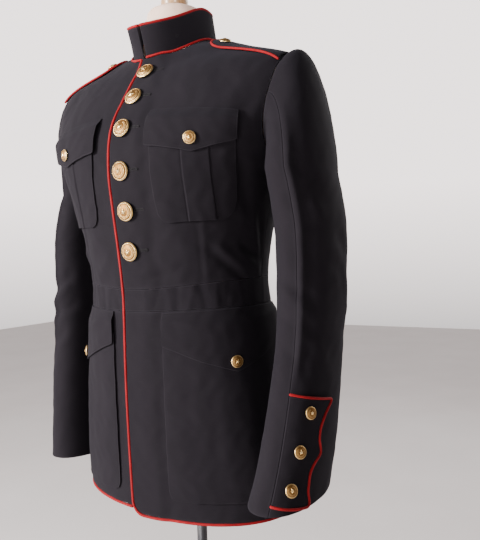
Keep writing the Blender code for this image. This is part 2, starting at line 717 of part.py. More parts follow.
CHEST_POCKET = (
    (0.517, 0.048, 0.162),
    (0.5035, 0.048, 0.162),
    (0.488, 0.048, 0.162),
    (0.470, 0.0485, 0.1615),
    (0.450, 0.049, 0.161),
    (0.422, 0.050, 0.158),
    (0.408, 0.052, 0.153),
    (0.400, 0.057, 0.145),
    (0.3965, 0.065, 0.137),
)
CHEST_FLAP_TOP = ((0.0425, 0.5455), (0.117, 0.5405), (0.163, 0.5372))
CHEST_FLAP_LOW = ((0.0425, 0.4965), (0.058, 0.4950), (0.090, 0.4895), (0.1055, 0.4860),
                  (0.120, 0.4897), (0.134, 0.4943), (0.163, 0.5020))
HIP_POCKET = (
    (0.250, 0.042, 0.232),
    (0.205, 0.042, 0.232),
    (0.155, 0.042, 0.232),
    (0.105, 0.042, 0.232),
    (0.055, 0.042, 0.232),
    (0.038, 0.0425, 0.2315),
    (0.030, 0.046, 0.228),
    (0.027, 0.053, 0.221),
)
HIP_FLAP_TOP = ((0.042, 0.2795), (0.236, 0.2795))
HIP_FLAP_LOW = ((0.042, 0.2345), (0.060, 0.2285), (0.096, 0.2140), (0.142, 0.1992),
                 (0.180, 0.2150), (0.218, 0.2316), (0.236, 0.2395))


def chest_pocket(name, side):
    a, b, c, d = PLEAT_FOLDS
    distances, heights = [], []
    for z, near, far in CHEST_POCKET:
        inside = np.linspace(near, a, 4)
        outside = np.linspace(d, far, 4)
        distances.append(np.concatenate([inside, [b, (b + c) / 2, c], outside]))
        heights.append(np.full(11, z))
    distances, heights = np.array(distances), np.array(heights)
    raised = (distances >= b - 1e-6) & (distances <= c + 1e-6)
    sewn_patch(name, side, distances, heights, PATCH_LIFT + 0.0002 + PLEAT * raised)


def flap(name, side, columns, top, low, rows, lift):
    distances, heights = np.meshgrid(columns, rows)
    tops = np.array([table_value(top, d) for d in columns])
    lows = np.array([table_value(low, d) for d in columns])
    heights = tops[None] * (1 - heights) + lows[None] * heights
    f = smooth((np.array(rows) - 0.10) / 0.25)[:, None] * np.ones(len(columns))
    sewn_patch(name, side, distances, heights, PATCH_LIFT + (lift - PATCH_LIFT) * f)


def hip_pocket(name, side):
    distances = np.array([np.linspace(near, far, 13) for z, near, far in HIP_POCKET])
    heights = np.array([np.full(13, z) for z, near, far in HIP_POCKET])
    sewn_patch(name, side, distances, heights, np.full(distances.shape, PATCH_LIFT + 0.0002))


CHEST_COLUMNS = [0.0425, 0.058, 0.074, 0.090, 0.1055, 0.120, 0.134, 0.149, 0.163]
HIP_COLUMNS = [0.042, 0.060, 0.078, 0.096, 0.112, 0.127, 0.142, 0.155, 0.168, 0.180, 0.199, 0.218, 0.236]
CHEST_FLAP_LIFT = FLAP_LIFT + PLEAT
for side, label in ((1, "left"), (-1, "right")):
    chest_pocket("chest_pocket_" + label, side)
    flap("chest_flap_" + label, side, CHEST_COLUMNS, CHEST_FLAP_TOP, CHEST_FLAP_LOW,
         (0, 0.1, 0.35, 0.7, 1), CHEST_FLAP_LIFT)
    hip_pocket("hip_pocket_" + label, side)
    flap("hip_flap_" + label, side, HIP_COLUMNS, HIP_FLAP_TOP, HIP_FLAP_LOW,
         (0, 0.1, 0.35, 0.7, 1), FLAP_LIFT)


# Buttons: a domed gilt disc with a rolled rim, on a short shank


def button(name, side, point, normal, radius):
    """The shank's end stands 0.3 mm clear of the point."""
    k = radius / BUTTON_RADIUS
    foot, rim, thick = 0.0003, 0.0022 * k + 0.0003, 0.0016 * k
    dome = 0.0042 * k
    profile = [
        (0, rim + thick + dome * 0.75),
        (radius * 0.55, rim + thick + dome * 0.54),
        (radius * 0.90, rim + thick + dome * 0.04),
        (radius, rim),
        (0.0026, rim),
        (0.0026, foot),
        (0, foot),
    ]
    at = mirror(point, side)
    facing = mirror(normal, side)
    return turned(name, profile, 12, GILT, tuple(at), tuple(facing))


FRONT_BUTTONS = (  # distance from the centre line, height, how far it sinks into the cloth's give
    (0.0115, 0.6045, -0.0007),
    (0.0080, 0.5675, 0.0),
    (0.0055, 0.5230, 0.0002),
    (0.0050, 0.4680, 0.0009),
    (0.0060, 0.4160, 0.0001),
    (0.0035, 0.3630, 0.0),
)
for k, (d, z, sink) in enumerate(FRONT_BUTTONS):
    button(f"button_front_{k + 1}", 1, *on_body(d, z, lap_lift(d) - sink), BUTTON_RADIUS)
for side, label in ((1, "left"), (-1, "right")):
    d, z = 0.1055, 0.5035
    button("button_chest_" + label, side, *on_body(d, z, CHEST_FLAP_LIFT + PATCH), SMALL_RADIUS)
    d, z = 0.1400, 0.2125
    button("button_hip_" + label, side, *on_body(d, z, FLAP_LIFT + PATCH), SMALL_RADIUS)


# Cuff flaps, on the sleeves


CUFF_LIFT = 0.0011
CUFF_FREE = (
    (0.1690, 71.0),
    (0.1560, 61.0),
    (0.1410, 54.0),
    (0.1280, 54.0),
    (0.1120, 61.0),
    (0.1060, 54.0),
    (0.0940, 46.0),
    (0.0780, 48.0),
    (0.0680, 54.0),
    (0.0630, 54.0),
)
CUFF_SPREAD = (0.0, 0.09, 0.21, 0.36, 0.55, 0.77, 1.0)
CUFF_BUTTONS = ((0.1545, 35.0), (0.1130, 27.0), (0.0785, 24.0))


def on_sleeve(rows, turn, z, lift=0.0):
    """A point and its normal on a sleeve, by ring angle and height at the sleeve's side."""
    at = 1 + np.interp(-z, -rows[:, 0], np.arange(len(rows)))
    normal = sleeve_normal(rows, turn, at)
    return sleeve(rows, turn, at) + normal * lift, normal


def cuff_height(z, rise):
    """The flap slopes down toward its free edge, and the right cuff hangs lower than the left."""
    return z + rise


def cuff_flap(name, side, rows, seam, drop):
    outer = np.zeros((len(CUFF_FREE), 7, 3))
    inner = np.zeros_like(outer)
    for i, (z, width) in enumerate(CUFF_FREE):
        for j, f in enumerate(CUFF_SPREAD):
            turn = seam + math.radians(1.0 + (width - 1.0) * f)
            point, normal = on_sleeve(rows, turn, z - drop + 0.008 * (1 - f))
            outer[i, j] = point + normal * (CUFF_LIFT + PATCH)
            inner[i, j] = point + normal * CUFF_LIFT
    return wall(name, mirror(outer[::-1], side), mirror(inner[::-1], side), WOOL, flip=side < 0)


CUFFS = (("left", 1, LEFT_SLEEVE, LEFT_SEAM, 0.0), ("right", -1, RIGHT_SLEEVE, RIGHT_SEAM, 0.023))
for label, side, rows, seam, drop in CUFFS:
    cuff_flap("cuff_flap_" + label, side, rows, seam, drop)
    for k, (z, turn) in enumerate(CUFF_BUTTONS):
        f = turn / table_value(CUFF_FREE[::-1], z)
        place = on_sleeve(rows, seam + math.radians(turn), z - drop + 0.008 * (1 - f), CUFF_LIFT + PATCH)
        button(f"button_cuff_{label}_{k + 1}", side, *place, SMALL_RADIUS * 0.94)


# Shoulder straps, given by plan position over the shoulder


STRAP_DEPTH = 0.0026
STRAP_LIFT = 0.0012
STRAP_ROWS = (
    (0.1885, -0.017, 0.0250),
    (0.1740, -0.018, 0.0248),
    (0.1590, -0.019, 0.0245),
    (0.1440, -0.020, 0.0240),
    (0.1290, -0.021, 0.0235),
    (0.1150, -0.022, 0.0230),
    (0.1020, -0.023, 0.0225),
    (0.0920, -0.0235, 0.0190),
    (0.0850, -0.024, 0.0120),
    (0.0815, -0.024, 0.0040),
)
near_angles, near_levels = np.meshgrid(np.linspace(0.3, 2.6, 70), np.linspace(9.0, NECK_LEVEL, 60))
NEAR_TOP = torso(near_angles, near_levels)


def over(x, y, lift=0.0):
    """The point of the shoulder above a plan position, and its normal."""
    away = np.hypot(NEAR_TOP[..., 0] - x, NEAR_TOP[..., 1] - y)
    k = np.unravel_index(np.argmin(away), away.shape)
    place = np.array([near_angles[k], near_levels[k]])
    for _ in range(12):
        here = torso(*place)[:2]
        step = 1e-4
        slope = np.stack([(torso(place[0] + step, place[1])[:2] - here) / step,
                          (torso(place[0], place[1] - step)[:2] - here) / -step], 1)
        change = np.linalg.lstsq(slope, np.array([x, y]) - here, rcond=None)[0]
        place = place + np.clip(change, -0.1, 0.1)
        place[1] = min(place[1], NECK_LEVEL)
    normal = torso_normal(*place)
    return torso(*place) + normal * lift, normal


def strap(name, side):
    outer = np.zeros((len(STRAP_ROWS), 5, 3))
    inner = np.zeros_like(outer)
    for i, (x, y, half) in enumerate(STRAP_ROWS):
        for j, f in enumerate((-1, -0.5, 0, 0.5, 1)):
            point, normal = over(x, y + half * f)
            outer[i, j] = point + normal * (STRAP_LIFT + STRAP_DEPTH)
            inner[i, j] = point + normal * STRAP_LIFT
    return wall(name, mirror(outer, side), mirror(inner, side), WOOL, flip=side < 0)


for side, label in ((1, "left"), (-1, "right")):
    strap("shoulder_strap_" + label, side)
    button("button_strap_" + label, side, *over(0.1000, -0.0270, STRAP_LIFT + STRAP_DEPTH), SMALL_RADIUS)


# Piping, a round cord beside an edge


def beside(points, normals, offset, closed_end=False):
    """Points moved out of an edge path by an offset, square to the path and to the normals."""
    points, normals = np.array(points), np.array(normals)
    along = unit(np.diff(points, axis=0))
    outs = unit(np.cross(along, (normals[:-1] + normals[1:]) / 2))
    first = np.vstack([outs[:1], outs])
    last = np.vstack([outs, outs[-1:]])
    middle = unit(first + last)
    reach = offset / np.maximum((middle * first).sum(-1, keepdims=True), 0.6)
    return points + middle * reach


def softened(points, cut=0.0013):
    """The same path with each sharp corner cut off a little."""
    points = np.array(points)
    made = [points[0]]
    for a, b, c in zip(points, points[1:], points[2:]):
        before, after = unit(a - b), unit(c - b)
        if before @ after > -0.9:
            made += [b + before * cut, b + after * cut]
        else:
            made.append(b)
    return made + [points[-1]]


PIPE_GAP = PIPING_RADIUS + 0.0004
SMALL_PIPING = 0.0016


def front_piping():
    """Down the left front edge, round its lower corner and along the hem to the centre back."""
    points, normals = [], []

    def put(distance, level):
        angle = float(angle_at(distance, level))
        lift = lap_lift(distance) - CLOTH / 2 + 0.0008 * (1 - smooth((distance - 0.010) / 0.03))
        normal = torso_normal(angle, level)
        points.append(torso(angle, level) + normal * lift)
        normals.append(normal)

    for z in np.concatenate([np.linspace(0.6335, 0.32, 15), np.linspace(0.30, CORNER + 0.008, 9)]):
        put(left_edge(z), float(level_at(z)))
    first = left_edge(0.0)
    for share in (0.0, 0.12, 0.40, 1.0):
        gap = 1 - share
        put(first + CORNER * share, float(level_at(CORNER * (1 - math.sqrt(1 - gap**2)))))
    length = ring_lengths(0.0)[-1]
    for distance in np.linspace(first + CORNER, length - 0.002, 26)[1:]:
        put(distance, 0.0)
    tube("piping_front", beside(points, normals, PIPE_GAP), PIPING_RADIUS, RED)


def right_hem_piping():
    points, normals = [], []
    lengths = ring_lengths(0.0)
    for distance in np.linspace(0.0245, lengths[-1] - 0.002, 26):
        level = float(level_at(right_rise(np.interp(distance, lengths, RING_ANGLES))))
        angle = float(angle_at(distance, level))
        normal = torso_normal(angle, level)
        points.append(torso(angle, level) - normal * CLOTH / 2)
        normals.append(normal)
    tube("piping_hem_right", mirror(beside(points, normals, PIPE_GAP), -1), PIPING_RADIUS, RED)


def collar_piping():
    turns = np.linspace(COLLAR_END, 2 * math.pi - COLLAR_END, 33)
    normals = collar_normal(turns, 1.0)
    rise = unit(collar_point(turns, 1.0) - collar_point(turns, 0.9))
    points = collar_point(turns, 1.0) - normals * COLLAR_CLOTH / 2 + rise * (PIPING_RADIUS + SEAM)
    tube("piping_collar_top", points, PIPING_RADIUS, RED)
    turns = np.linspace(0.11, 2 * math.pi - 0.11, 37)
    base = torso(turns, NECK_LEVEL)
    n = torso_normal(turns, NECK_LEVEL)
    c = collar_normal(turns, 0.0)
    wrapped = np.where(turns > math.pi, turns - 2 * math.pi, turns)
    distances = distance_at(wrapped, NECK_LEVEL)
    lifts = np.where(distances > 0, lap_lift(distances), 0)
    radius = SMALL_PIPING
    to_cloth = (radius + 0.0005 + lifts)[:, None]
    to_collar = radius + 0.0005
    g = (n * c).sum(-1, keepdims=True)
    a = (to_cloth - g * to_collar) / (1 - g**2)
    b = (to_collar - g * to_cloth) / (1 - g**2)
    a, b = np.where(b < 0, to_cloth, a), np.maximum(b, 0)
    b = np.where(a < 0, to_collar, b)
    tube("piping_collar_base", base + n * np.maximum(a, 0) + c * b, radius, RED)


def strap_piping(label, side):
    points, normals = [], []
    outline = [(x, y - half) for x, y, half in STRAP_ROWS]
    outline += [(x, y + half) for x, y, half in STRAP_ROWS[::-1]]
    for x, y in outline:
        point, normal = over(x, y, STRAP_LIFT + 0.0022)
        points.append(point)
        normals.append(normal)
    path = softened(beside(points, -np.array(normals), SMALL_PIPING + SEAM))
    tube("piping_strap_" + label, mirror(np.array(path), side), SMALL_PIPING, RED)


def cuff_piping(label, side, rows, seam, drop):
    points, normals = [], []
    spots = []
    z, width = CUFF_FREE[0]
    spots += [(z, width, f) for f in (0.0, 0.25, 0.5, 0.75)]
    spots += [(z, width, 1.0) for z, width in CUFF_FREE]
    z, width = CUFF_FREE[-1]
    spots += [(z, width, f) for f in (0.75, 0.5, 0.25, 0.0)]
    for z, width, f in spots:
        turn = seam + math.radians(1.0 + (width - 1.0) * f)
        point, normal = on_sleeve(rows, turn, z - drop + 0.008 * (1 - f), SMALL_PIPING + 0.0018)
        points.append(point)
        normals.append(normal)
    path = softened(beside(points, -np.array(normals), SMALL_PIPING + 0.0005))
    tube("piping_cuff_" + label, mirror(np.array(path), side), SMALL_PIPING, RED)


front_piping()
right_hem_piping()
collar_piping()
for side, label in ((1, "left"), (-1, "right")):
    strap_piping(label, side)
for label, side, rows, seam, drop in CUFFS:
    cuff_piping(label, side, rows, seam, drop)

centre_on_origin()
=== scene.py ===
from math import cos, hypot, pi, radians, sin

import bmesh
import bpy
import numpy as np
from mathutils import Matrix, Vector


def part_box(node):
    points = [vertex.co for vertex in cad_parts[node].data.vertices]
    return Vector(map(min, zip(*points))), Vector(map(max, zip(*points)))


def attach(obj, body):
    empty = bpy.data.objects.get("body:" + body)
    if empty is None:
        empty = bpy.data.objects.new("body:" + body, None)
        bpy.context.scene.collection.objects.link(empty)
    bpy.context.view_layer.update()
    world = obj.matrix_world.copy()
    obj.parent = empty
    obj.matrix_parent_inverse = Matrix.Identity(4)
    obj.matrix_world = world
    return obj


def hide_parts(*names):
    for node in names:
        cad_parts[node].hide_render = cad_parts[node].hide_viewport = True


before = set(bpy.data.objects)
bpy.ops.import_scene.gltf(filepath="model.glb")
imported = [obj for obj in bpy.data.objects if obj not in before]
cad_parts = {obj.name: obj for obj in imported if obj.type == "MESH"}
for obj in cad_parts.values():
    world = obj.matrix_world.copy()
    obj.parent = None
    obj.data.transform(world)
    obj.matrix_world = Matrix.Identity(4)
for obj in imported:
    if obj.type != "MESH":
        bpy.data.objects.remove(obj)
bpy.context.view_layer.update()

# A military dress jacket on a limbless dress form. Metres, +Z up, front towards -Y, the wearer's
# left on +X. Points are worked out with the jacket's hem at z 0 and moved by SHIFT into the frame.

MM = 0.001
POLE_Y = 0.024
HEM_HEIGHT = 0.550
low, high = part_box("stand_pole")
SHIFT = np.array([(low.x + high.x) / 2, (low.y + high.y) / 2 - POLE_Y, HEM_HEIGHT])
UP = np.array([0, 0, 1.0])
SIDES = ((1, "left"), (-1, "right"))
LABEL = dict(SIDES)

# Sizes that the model shares with its solids
CLOTH = 0.0019
PATCH_LIFT = 0.0008
PATCH = 0.0015
FLAP_LIFT = PATCH_LIFT + PATCH + 0.0012
PIPING_RADIUS = 0.0019
SMALL_PIPING = 0.0016
SEAM = 0.00010  # visible pieces meet closer than the solids do
LAP_LIFT = 0.0027
LAP_FADE = (0.024, 0.044)
UNDERLAP = 0.022
BAND_TOP = 0.311
BAND_LOW = 0.281
RIGHT_HEM_RISE = 0.007
SIDE_RISE = 0.015
CORNER = 0.016
BUTTON_RADIUS = 0.0127
SMALL_RADIUS = 0.0083
ROUNDING = 0.00085  # radius of a cloth edge
EDGE_STEPS = np.array([0.0, 0.0002, 0.0005, 0.0009, 0.0016, 0.0030])
INSET = 0.008  # width of the border that carries the top-stitching
STITCH_LINE = 0.30  # where the stitching runs, as a share of INSET
STITCH_SCALE = 177.0  # gives stitches 2.5 mm long
RUMPLE = 0.00032
WORN_EDGE = 0.0022  # how far in from its border the cloth is rubbed
INNER_MAP = (0.37, 0.21)  # sets the inner face's cloth map apart from the outer face's
SLEEVE_RADIUS = 0.055  # turns a sleeve's ring angle into cloth
CLEAR = 0.0001  # air between a cord and what it lies on
PATCH_ROUNDING = 0.0007

# The body's level rings in millimetres: height at the front, side and back, half width, depth at
# the front, side and back; then how square the front and the back half are
LEVELS = (
    ("hem", 0, -4, -8, 172, -113, 16, 140, 2.25, 2.2),
    ("skirt", 95, 92, 90, 163, -117, 8, 130, 2.25, 2.2),
    ("hip", 190, 190, 190, 152, -119, -2, 112, 2.25, 2.2),
    ("band_low", 281, 286, 290, 141, -118, -10, 88, 2.2, 2.2),
    ("band_top", 311, 322, 326, 139, -119, -12, 83, 2.2, 2.2),
    ("rib", 365, 372, 376, 145, -126, -12, 87, 2.2, 2.2),
    ("bust", 415, 420, 425, 155, -134, -12, 98, 2.25, 2.3),
    ("chest", 469, 470, 475, 168, -141, -10, 108, 2.35, 2.4),
    ("armpit", 520, 515, 522, 190, -136, -6, 112, 2.5, 2.5),
    ("blade", 560, 566, 574, 210, -116, -2, 108, 2.25, 2.5),
    ("tip", 592, 610, 620, 205, -98, 2, 95, 1.95, 2.3),
    ("mid", 610, 640, 656, 132, -86, 5, 78, 1.75, 2.1),
    ("neck", 630, 667, 682, 60, -78, 4, 60, 1.85, 2.1),
)
RING_UNITS = [MM] * 7 + [1, 1]
ROWS = np.array([row[1:] for row in LEVELS]) * RING_UNITS
NECK_LEVEL = len(LEVELS) - 1.0
ARM_POINT = np.array([0.1895, 0.0, 0.600])
ARM_SLOPE = 0.15
ARM_NORMAL = np.array([1.0, 0.0, -ARM_SLOPE]) / hypot(1.0, ARM_SLOPE)


def unit(v):
    return v / np.linalg.norm(v, axis=-1, keepdims=True)


def smooth(f):
    f = np.clip(f, 0, 1)
    return f * f * (3 - 2 * f)


def bell(x, middle, width):
    """A soft bump of height 1."""
    return np.exp(-(((x - middle) / width) ** 2))


def alike(*values):
    """The values as float arrays of one shape."""
    return np.broadcast_arrays(*(np.asarray(v, float) for v in values))


def table(rows, at):
    """Straight-line values of a two-column table."""
    return np.interp(at, *zip(*rows))


def hermite(f, p1, m1, p2, m2):
    """The way from p1 to p2, leaving along m1 and arriving along m2."""
    start, end = 2 * f**3 - 3 * f**2 + 1, 3 * f**2 - 2 * f**3
    return start * p1 + (f**3 - 2 * f**2 + f) * m1 + end * p2 + (f**3 - f**2) * m2


def spline_rows(rows, level):
    """Catmull-Rom values of a table's columns at one level or many."""
    level = np.clip(np.asarray(level, float), 0, len(rows) - 1)
    low = np.minimum(level.astype(int), len(rows) - 2)
    p1, p2 = rows[low], rows[low + 1]
    before, after = rows[np.maximum(low - 1, 0)], rows[np.minimum(low + 2, len(rows) - 1)]
    return hermite((level - low)[..., None], p1, (p2 - before) / 2, p2, (after - p1) / 2)


def run_along(points, axis=0):
    """Distance travelled along one axis of a grid of points."""
    steps = np.linalg.norm(np.diff(points, axis=axis), axis=-1)
    pad = [(0, 0)] * steps.ndim
    pad[axis] = (1, 0)
    return np.pad(np.cumsum(steps, axis), pad)


def facing(surface, turn, at, last):
    """Normals of a surface that is given by turn and by at, from 0 to last."""
    step = 1e-3
    along = surface(turn + step, at) - surface(turn - step, at)
    rise = surface(turn, np.minimum(at + step, last)) - surface(turn, np.maximum(at - step, 0))
    return unit(np.cross(along, rise))


def ring(angle, row):
    """Points of a ring. Angle 0 is the centre front and pi/2 the wearer's left side."""
    z_front, z_side, z_back, wide, front, side, back, n_front, n_back = np.moveaxis(row, -1, 0)
    c, s = np.cos(angle), np.sin(angle)
    ahead = c >= 0
    deep = np.where(ahead, side - front, back - side)
    n = np.where(ahead, n_front, n_back)
    reach = (np.abs(c / deep) ** n + np.abs(s / wide) ** n) ** (-1 / n)
    z = np.where(ahead, z_front, z_back) * c**2 + z_side * s**2
    return np.stack([reach * s, side - reach * c, z], -1)


def torso(angle, level):
    """Points of the body surface."""
    angle, level = alike(angle, level)
    return ring(angle, spline_rows(ROWS, level))


def torso_normal(angle, level):
    return facing(torso, *alike(angle, level), NECK_LEVEL)


RING_ANGLES = np.linspace(0, pi, 361)
TABLE_LEVELS = np.linspace(0, NECK_LEVEL, 601)
FRONT_HEIGHTS = spline_rows(ROWS, TABLE_LEVELS)[:, 0]
RING_LENGTHS = run_along(torso(RING_ANGLES[None], TABLE_LEVELS[:, None]), 1)
SIDE_COLUMN = 180  # the ring angle pi/2


def level_at(z):
    """The level whose ring crosses the centre front at this height above the hem."""
    return np.interp(z, FRONT_HEIGHTS, TABLE_LEVELS)


def front_z(level):
    return np.interp(level, TABLE_LEVELS, FRONT_HEIGHTS)


def side_length(level):
    return np.interp(level, TABLE_LEVELS, RING_LENGTHS[:, SIDE_COLUMN])


def back_length(level):
    return np.interp(level, TABLE_LEVELS, RING_LENGTHS[:, -1])


def rings_at(level):
    """Distances round the rings of many levels, at RING_ANGLES."""
    at = np.clip(np.asarray(level, float).ravel() / NECK_LEVEL * (len(TABLE_LEVELS) - 1), 0, None)
    low = np.minimum(at.astype(int), len(TABLE_LEVELS) - 2)
    f = (at - low)[:, None]
    return RING_LENGTHS[low] * (1 - f) + RING_LENGTHS[low + 1] * f


def angle_at(distance, level):
    """The angle this far round from the centre front; the wearer's right is negative."""
    distance, level = alike(distance, level)
    lengths = rings_at(level)
    away = np.abs(distance).ravel()
    k = np.clip((lengths < away[:, None]).sum(-1) - 1, 0, len(RING_ANGLES) - 2)
    here = np.arange(len(away))
    low, high = lengths[here, k], lengths[here, k + 1]
    found = (k + (away - low) / (high - low)) * (RING_ANGLES[1] - RING_ANGLES[0])
    return np.sign(distance) * found.reshape(distance.shape)


def distance_at(angle, level):
    """Distance round one ring from the centre front."""
    return np.sign(angle) * np.interp(np.abs(angle), RING_ANGLES, rings_at(level)[0])


def on_body(distance, z, lift=0.0):
    """Points and normals on the body, by distance round from the centre front and height."""
    level = level_at(z)
    angle = angle_at(distance, level)
    normal = torso_normal(angle, level)
    return torso(angle, level) + normal * np.asarray(lift)[..., None], normal


# The armhole, and the sleeves that start from it


def beyond_arm(point):
    """How far a point of the wearer's left half is outside the armhole's plane."""
    return (np.asarray(point) - ARM_POINT) @ ARM_NORMAL


def bisect(f, low, high):
    """Where f changes sign between low and high."""
    start = f(low) > 0
    for _ in range(30):
        middle = (low + high) / 2
        if (f(middle) > 0) == start:
            low = middle
        else:
            high = middle
    return (low + high) / 2


def beyond_at_side(level):
    return beyond_arm(torso(pi / 2, level))


ARM_LOW = bisect(beyond_at_side, 6.0, 9.0)
ARM_HIGH = bisect(beyond_at_side, 9.0, 11.0)


def arm_angle(level, back):
    """The angle at which a level ring crosses the armhole plane, ahead of the side or behind it."""
    if level <= ARM_LOW or level >= ARM_HIGH:
        return pi / 2
    return bisect(lambda a: beyond_arm(torso(a, level)), pi / 2, 2.9 if back else 0.25)


# Sleeve rings in millimetres: height, drop to the back, middle x and y, half width, half depth
LEFT_SLEEVE = MM * np.array([
    (460, 0, 209.5, -21, 38.5, 76.5),
    (420, 0, 213.5, -14, 39.5, 75),
    (375, 0, 216.5, -12, 40, 72),
    (300, 2, 216.5, -17.5, 38.5, 68),
    (235, 4, 215, -25, 37, 67),
    (170, 6, 213.5, -41, 38, 70),
    (100, 6, 211, -64, 39, 74.5),
    (57, 1, 209.5, -87, 40, 79),
])
RIGHT_SLEEVE = MM * np.array([
    (460, 0, 206, 30, 33, 62),
    (420, 0, 212, 26, 34.5, 65),
    (375, 0, 213, 20, 35, 66),
    (300, 0, 209, 15, 35.5, 66.5),
    (235, 0, 209, 10, 36, 67.5),
    (170, 0, 209, 5, 37, 70),
    (100, 1, 209, 2, 37.5, 72),
    (34, 2, 209, 0, 38.5, 74),
])
SLEEVE_FULLNESS = 2.2
LEFT_HEAD = (0.45, 1.10, 0.80)  # strength of the outward start, the downward end, the roll on top
RIGHT_HEAD = (0.20, 0.90, 0.0)
LEFT_SEAM = radians(10)
RIGHT_SEAM = radians(72)

loop_levels = (ARM_LOW + ARM_HIGH) / 2 - (ARM_HIGH - ARM_LOW) / 2 * np.cos(np.linspace(0, pi, 81))
back_loop = [(arm_angle(v, True), v) for v in loop_levels[::-1]]
LOOP_POINTS = torso(*np.array([(arm_angle(v, False), v) for v in loop_levels] + back_loop[1:-1]).T)
PLANE_UP = np.array([ARM_SLOPE, 0, 1]) / hypot(1, ARM_SLOPE)
across, upward = -LOOP_POINTS[:, 1], LOOP_POINTS @ PLANE_UP
across, upward = ((v - (v.max() + v.min()) / 2) / np.ptp(v) for v in (across, upward))
LOOP_TURNS = np.unwrap(np.arctan2(upward, across))


def arm_loop(turn):
    """Points of the armhole at these ring angles."""
    around = np.mod(turn - LOOP_TURNS[0], 2 * pi) + LOOP_TURNS[0]
    turns = np.append(LOOP_TURNS, LOOP_TURNS[0] + 2 * pi)
    points = np.vstack([LOOP_POINTS, LOOP_POINTS[:1]])
    return np.stack([np.interp(around, turns, points[:, k]) for k in range(3)], -1)


def sleeve_row(rows, turn, index):
    """A point of the sleeve below the biceps, by ring angle and row."""
    z, drop, cx, cy, hx, hy = np.moveaxis(spline_rows(rows, index), -1, 0)
    s, c = np.sin(turn), np.cos(turn)
    power = 2 / SLEEVE_FULLNESS
    x = cx + hx * np.sign(s) * np.abs(s) ** power
    return np.stack([x, cy - hy * np.sign(c) * np.abs(c) ** power, z + drop * c], -1)


def sleeve(rows, turn, at):
    """A point of a sleeve's outer face; at is 0 at the armhole, 1 at the biceps, then one a row."""
    turn, at = alike(turn, at)
    start = arm_loop(turn) + ARM_NORMAL * SEAM / 2
    end = sleeve_row(rows, turn, np.zeros_like(at))
    reach = np.linalg.norm(end - start, axis=-1, keepdims=True)
    out, drop, roll = LEFT_HEAD if rows is LEFT_SLEEVE else RIGHT_HEAD
    away = out * ARM_NORMAL + roll * np.maximum(np.sin(turn), 0)[..., None] ** 3 * UP
    head = hermite(np.clip(at, 0, 1)[..., None], start, reach * away, end, -drop * reach * UP)
    return np.where((at < 1)[..., None], head, sleeve_row(rows, turn, np.maximum(at - 1, 0)))


def sleeve_normal(rows, turn, at):
    return -facing(lambda a, v: sleeve(rows, a, v), turn, at, float(len(rows)))


def on_sleeve(rows, turn, z, lift=0.0):
    """Points and normals on a sleeve, by ring angle and height at the sleeve's side."""
    at = 1 + np.interp(-np.asarray(z, float), -rows[:, 0], np.arange(len(rows)))
    normal = sleeve_normal(rows, turn, at)
    return sleeve(rows, turn, at) + normal * np.asarray(lift)[..., None], normal


# Materials


class Nodes:
    """A node tree that is built up by name."""

    def __init__(self, tree):
        self.tree = tree

    def node(self, kind, inputs=None, **settings):
        made = self.tree.nodes.new("ShaderNode" + kind)
        for key, value in settings.items():
            setattr(made, key, value)
        for key, value in (inputs or {}).items():
            self.put(made.inputs[key], value)
        return made

    def put(self, socket, value):
        """Sets a socket, or links it where the value is another node's output."""
        if isinstance(value, bpy.types.NodeSocket):
            self.tree.links.new(value, socket)
        else:
            socket.default_value = value

    def ramp(self, value, low, high, out_low=0.0, out_high=1.0):
        inputs = {"Value": value, "From Min": low, "From Max": high, "To Min": out_low, "To Max": out_high}
        return self.node("MapRange", inputs).outputs["Result"]


class Shader(Nodes):
    """A node material with the surface's own Principled shader."""

    def __init__(self, name, colour, roughness, **constants):
        self.material = bpy.data.materials.new(name)
        self.material.use_nodes = True
        super().__init__(self.material.node_tree)
        self.surface = self.tree.nodes["Principled BSDF"].inputs
        self.surface["Base Color"].default_value = (*colour, 1)
        self.surface["Roughness"].default_value = roughness
        for key, value in constants.items():
            self.surface[key.replace("_", " ").title().replace("Ior", "IOR")].default_value = value

    def mapping(self, vector, scale, turn=0.0):
        inputs = {"Vector": vector, "Scale": scale, "Rotation": (0, 0, turn)}
        return self.node("Mapping", inputs).outputs["Vector"]

    def cloth_map(self, turn=0.0):
        """The cloth's own length coordinates, in metres, turned."""
        return self.mapping(self.node("UVMap", uv_map="cloth").outputs["UV"], (1, 1, 1), turn)

    def place(self):
        """The object's own coordinates."""
        return self.node("TexCoord").outputs["Object"]

    def noise(self, vector, scale, detail=2.0, rough=0.5, stretch=0.0):
        inputs = {"Vector": vector, "Scale": scale, "Detail": detail, "Roughness": rough}
        return self.node("TexNoise", {**inputs, "Distortion": stretch}).outputs["Fac"]

    def wave(self, vector, scale, distortion=0.0, direction="X"):
        inputs = {"Vector": vector, "Scale": scale, "Detail": 1.0, "Detail Scale": 1.5}
        inputs["Distortion"] = distortion
        return self.node("TexWave", inputs, bands_direction=direction).outputs["Fac"]

    def math(self, operation, *values):
        return self.node("Math", dict(enumerate(values)), operation=operation).outputs[0]

    def times(self, a, b):
        return self.math("MULTIPLY", a, b)

    def mix(self, share, a, b):
        made = self.node("Mix", {0: share}, data_type="RGBA")
        for socket, value in ((made.inputs[6], a), (made.inputs[7], b)):
            self.put(socket, value if isinstance(value, bpy.types.NodeSocket) else (*value, 1))
        return made.outputs[2]

    def attribute(self, name):
        return self.node("Attribute", attribute_name=name).outputs["Fac"]

    def finish(self, colour, roughness=None, height=None, strength=0.5, depth=0.0003):
        self.put(self.surface["Base Color"], colour)
        if roughness is not None:
            self.put(self.surface["Roughness"], roughness)
        if height is not None:
            bump = self.node("Bump", {"Height": height, "Strength": strength, "Distance": depth})
            self.put(self.surface["Normal"], bump.outputs["Normal"])
        return self.material


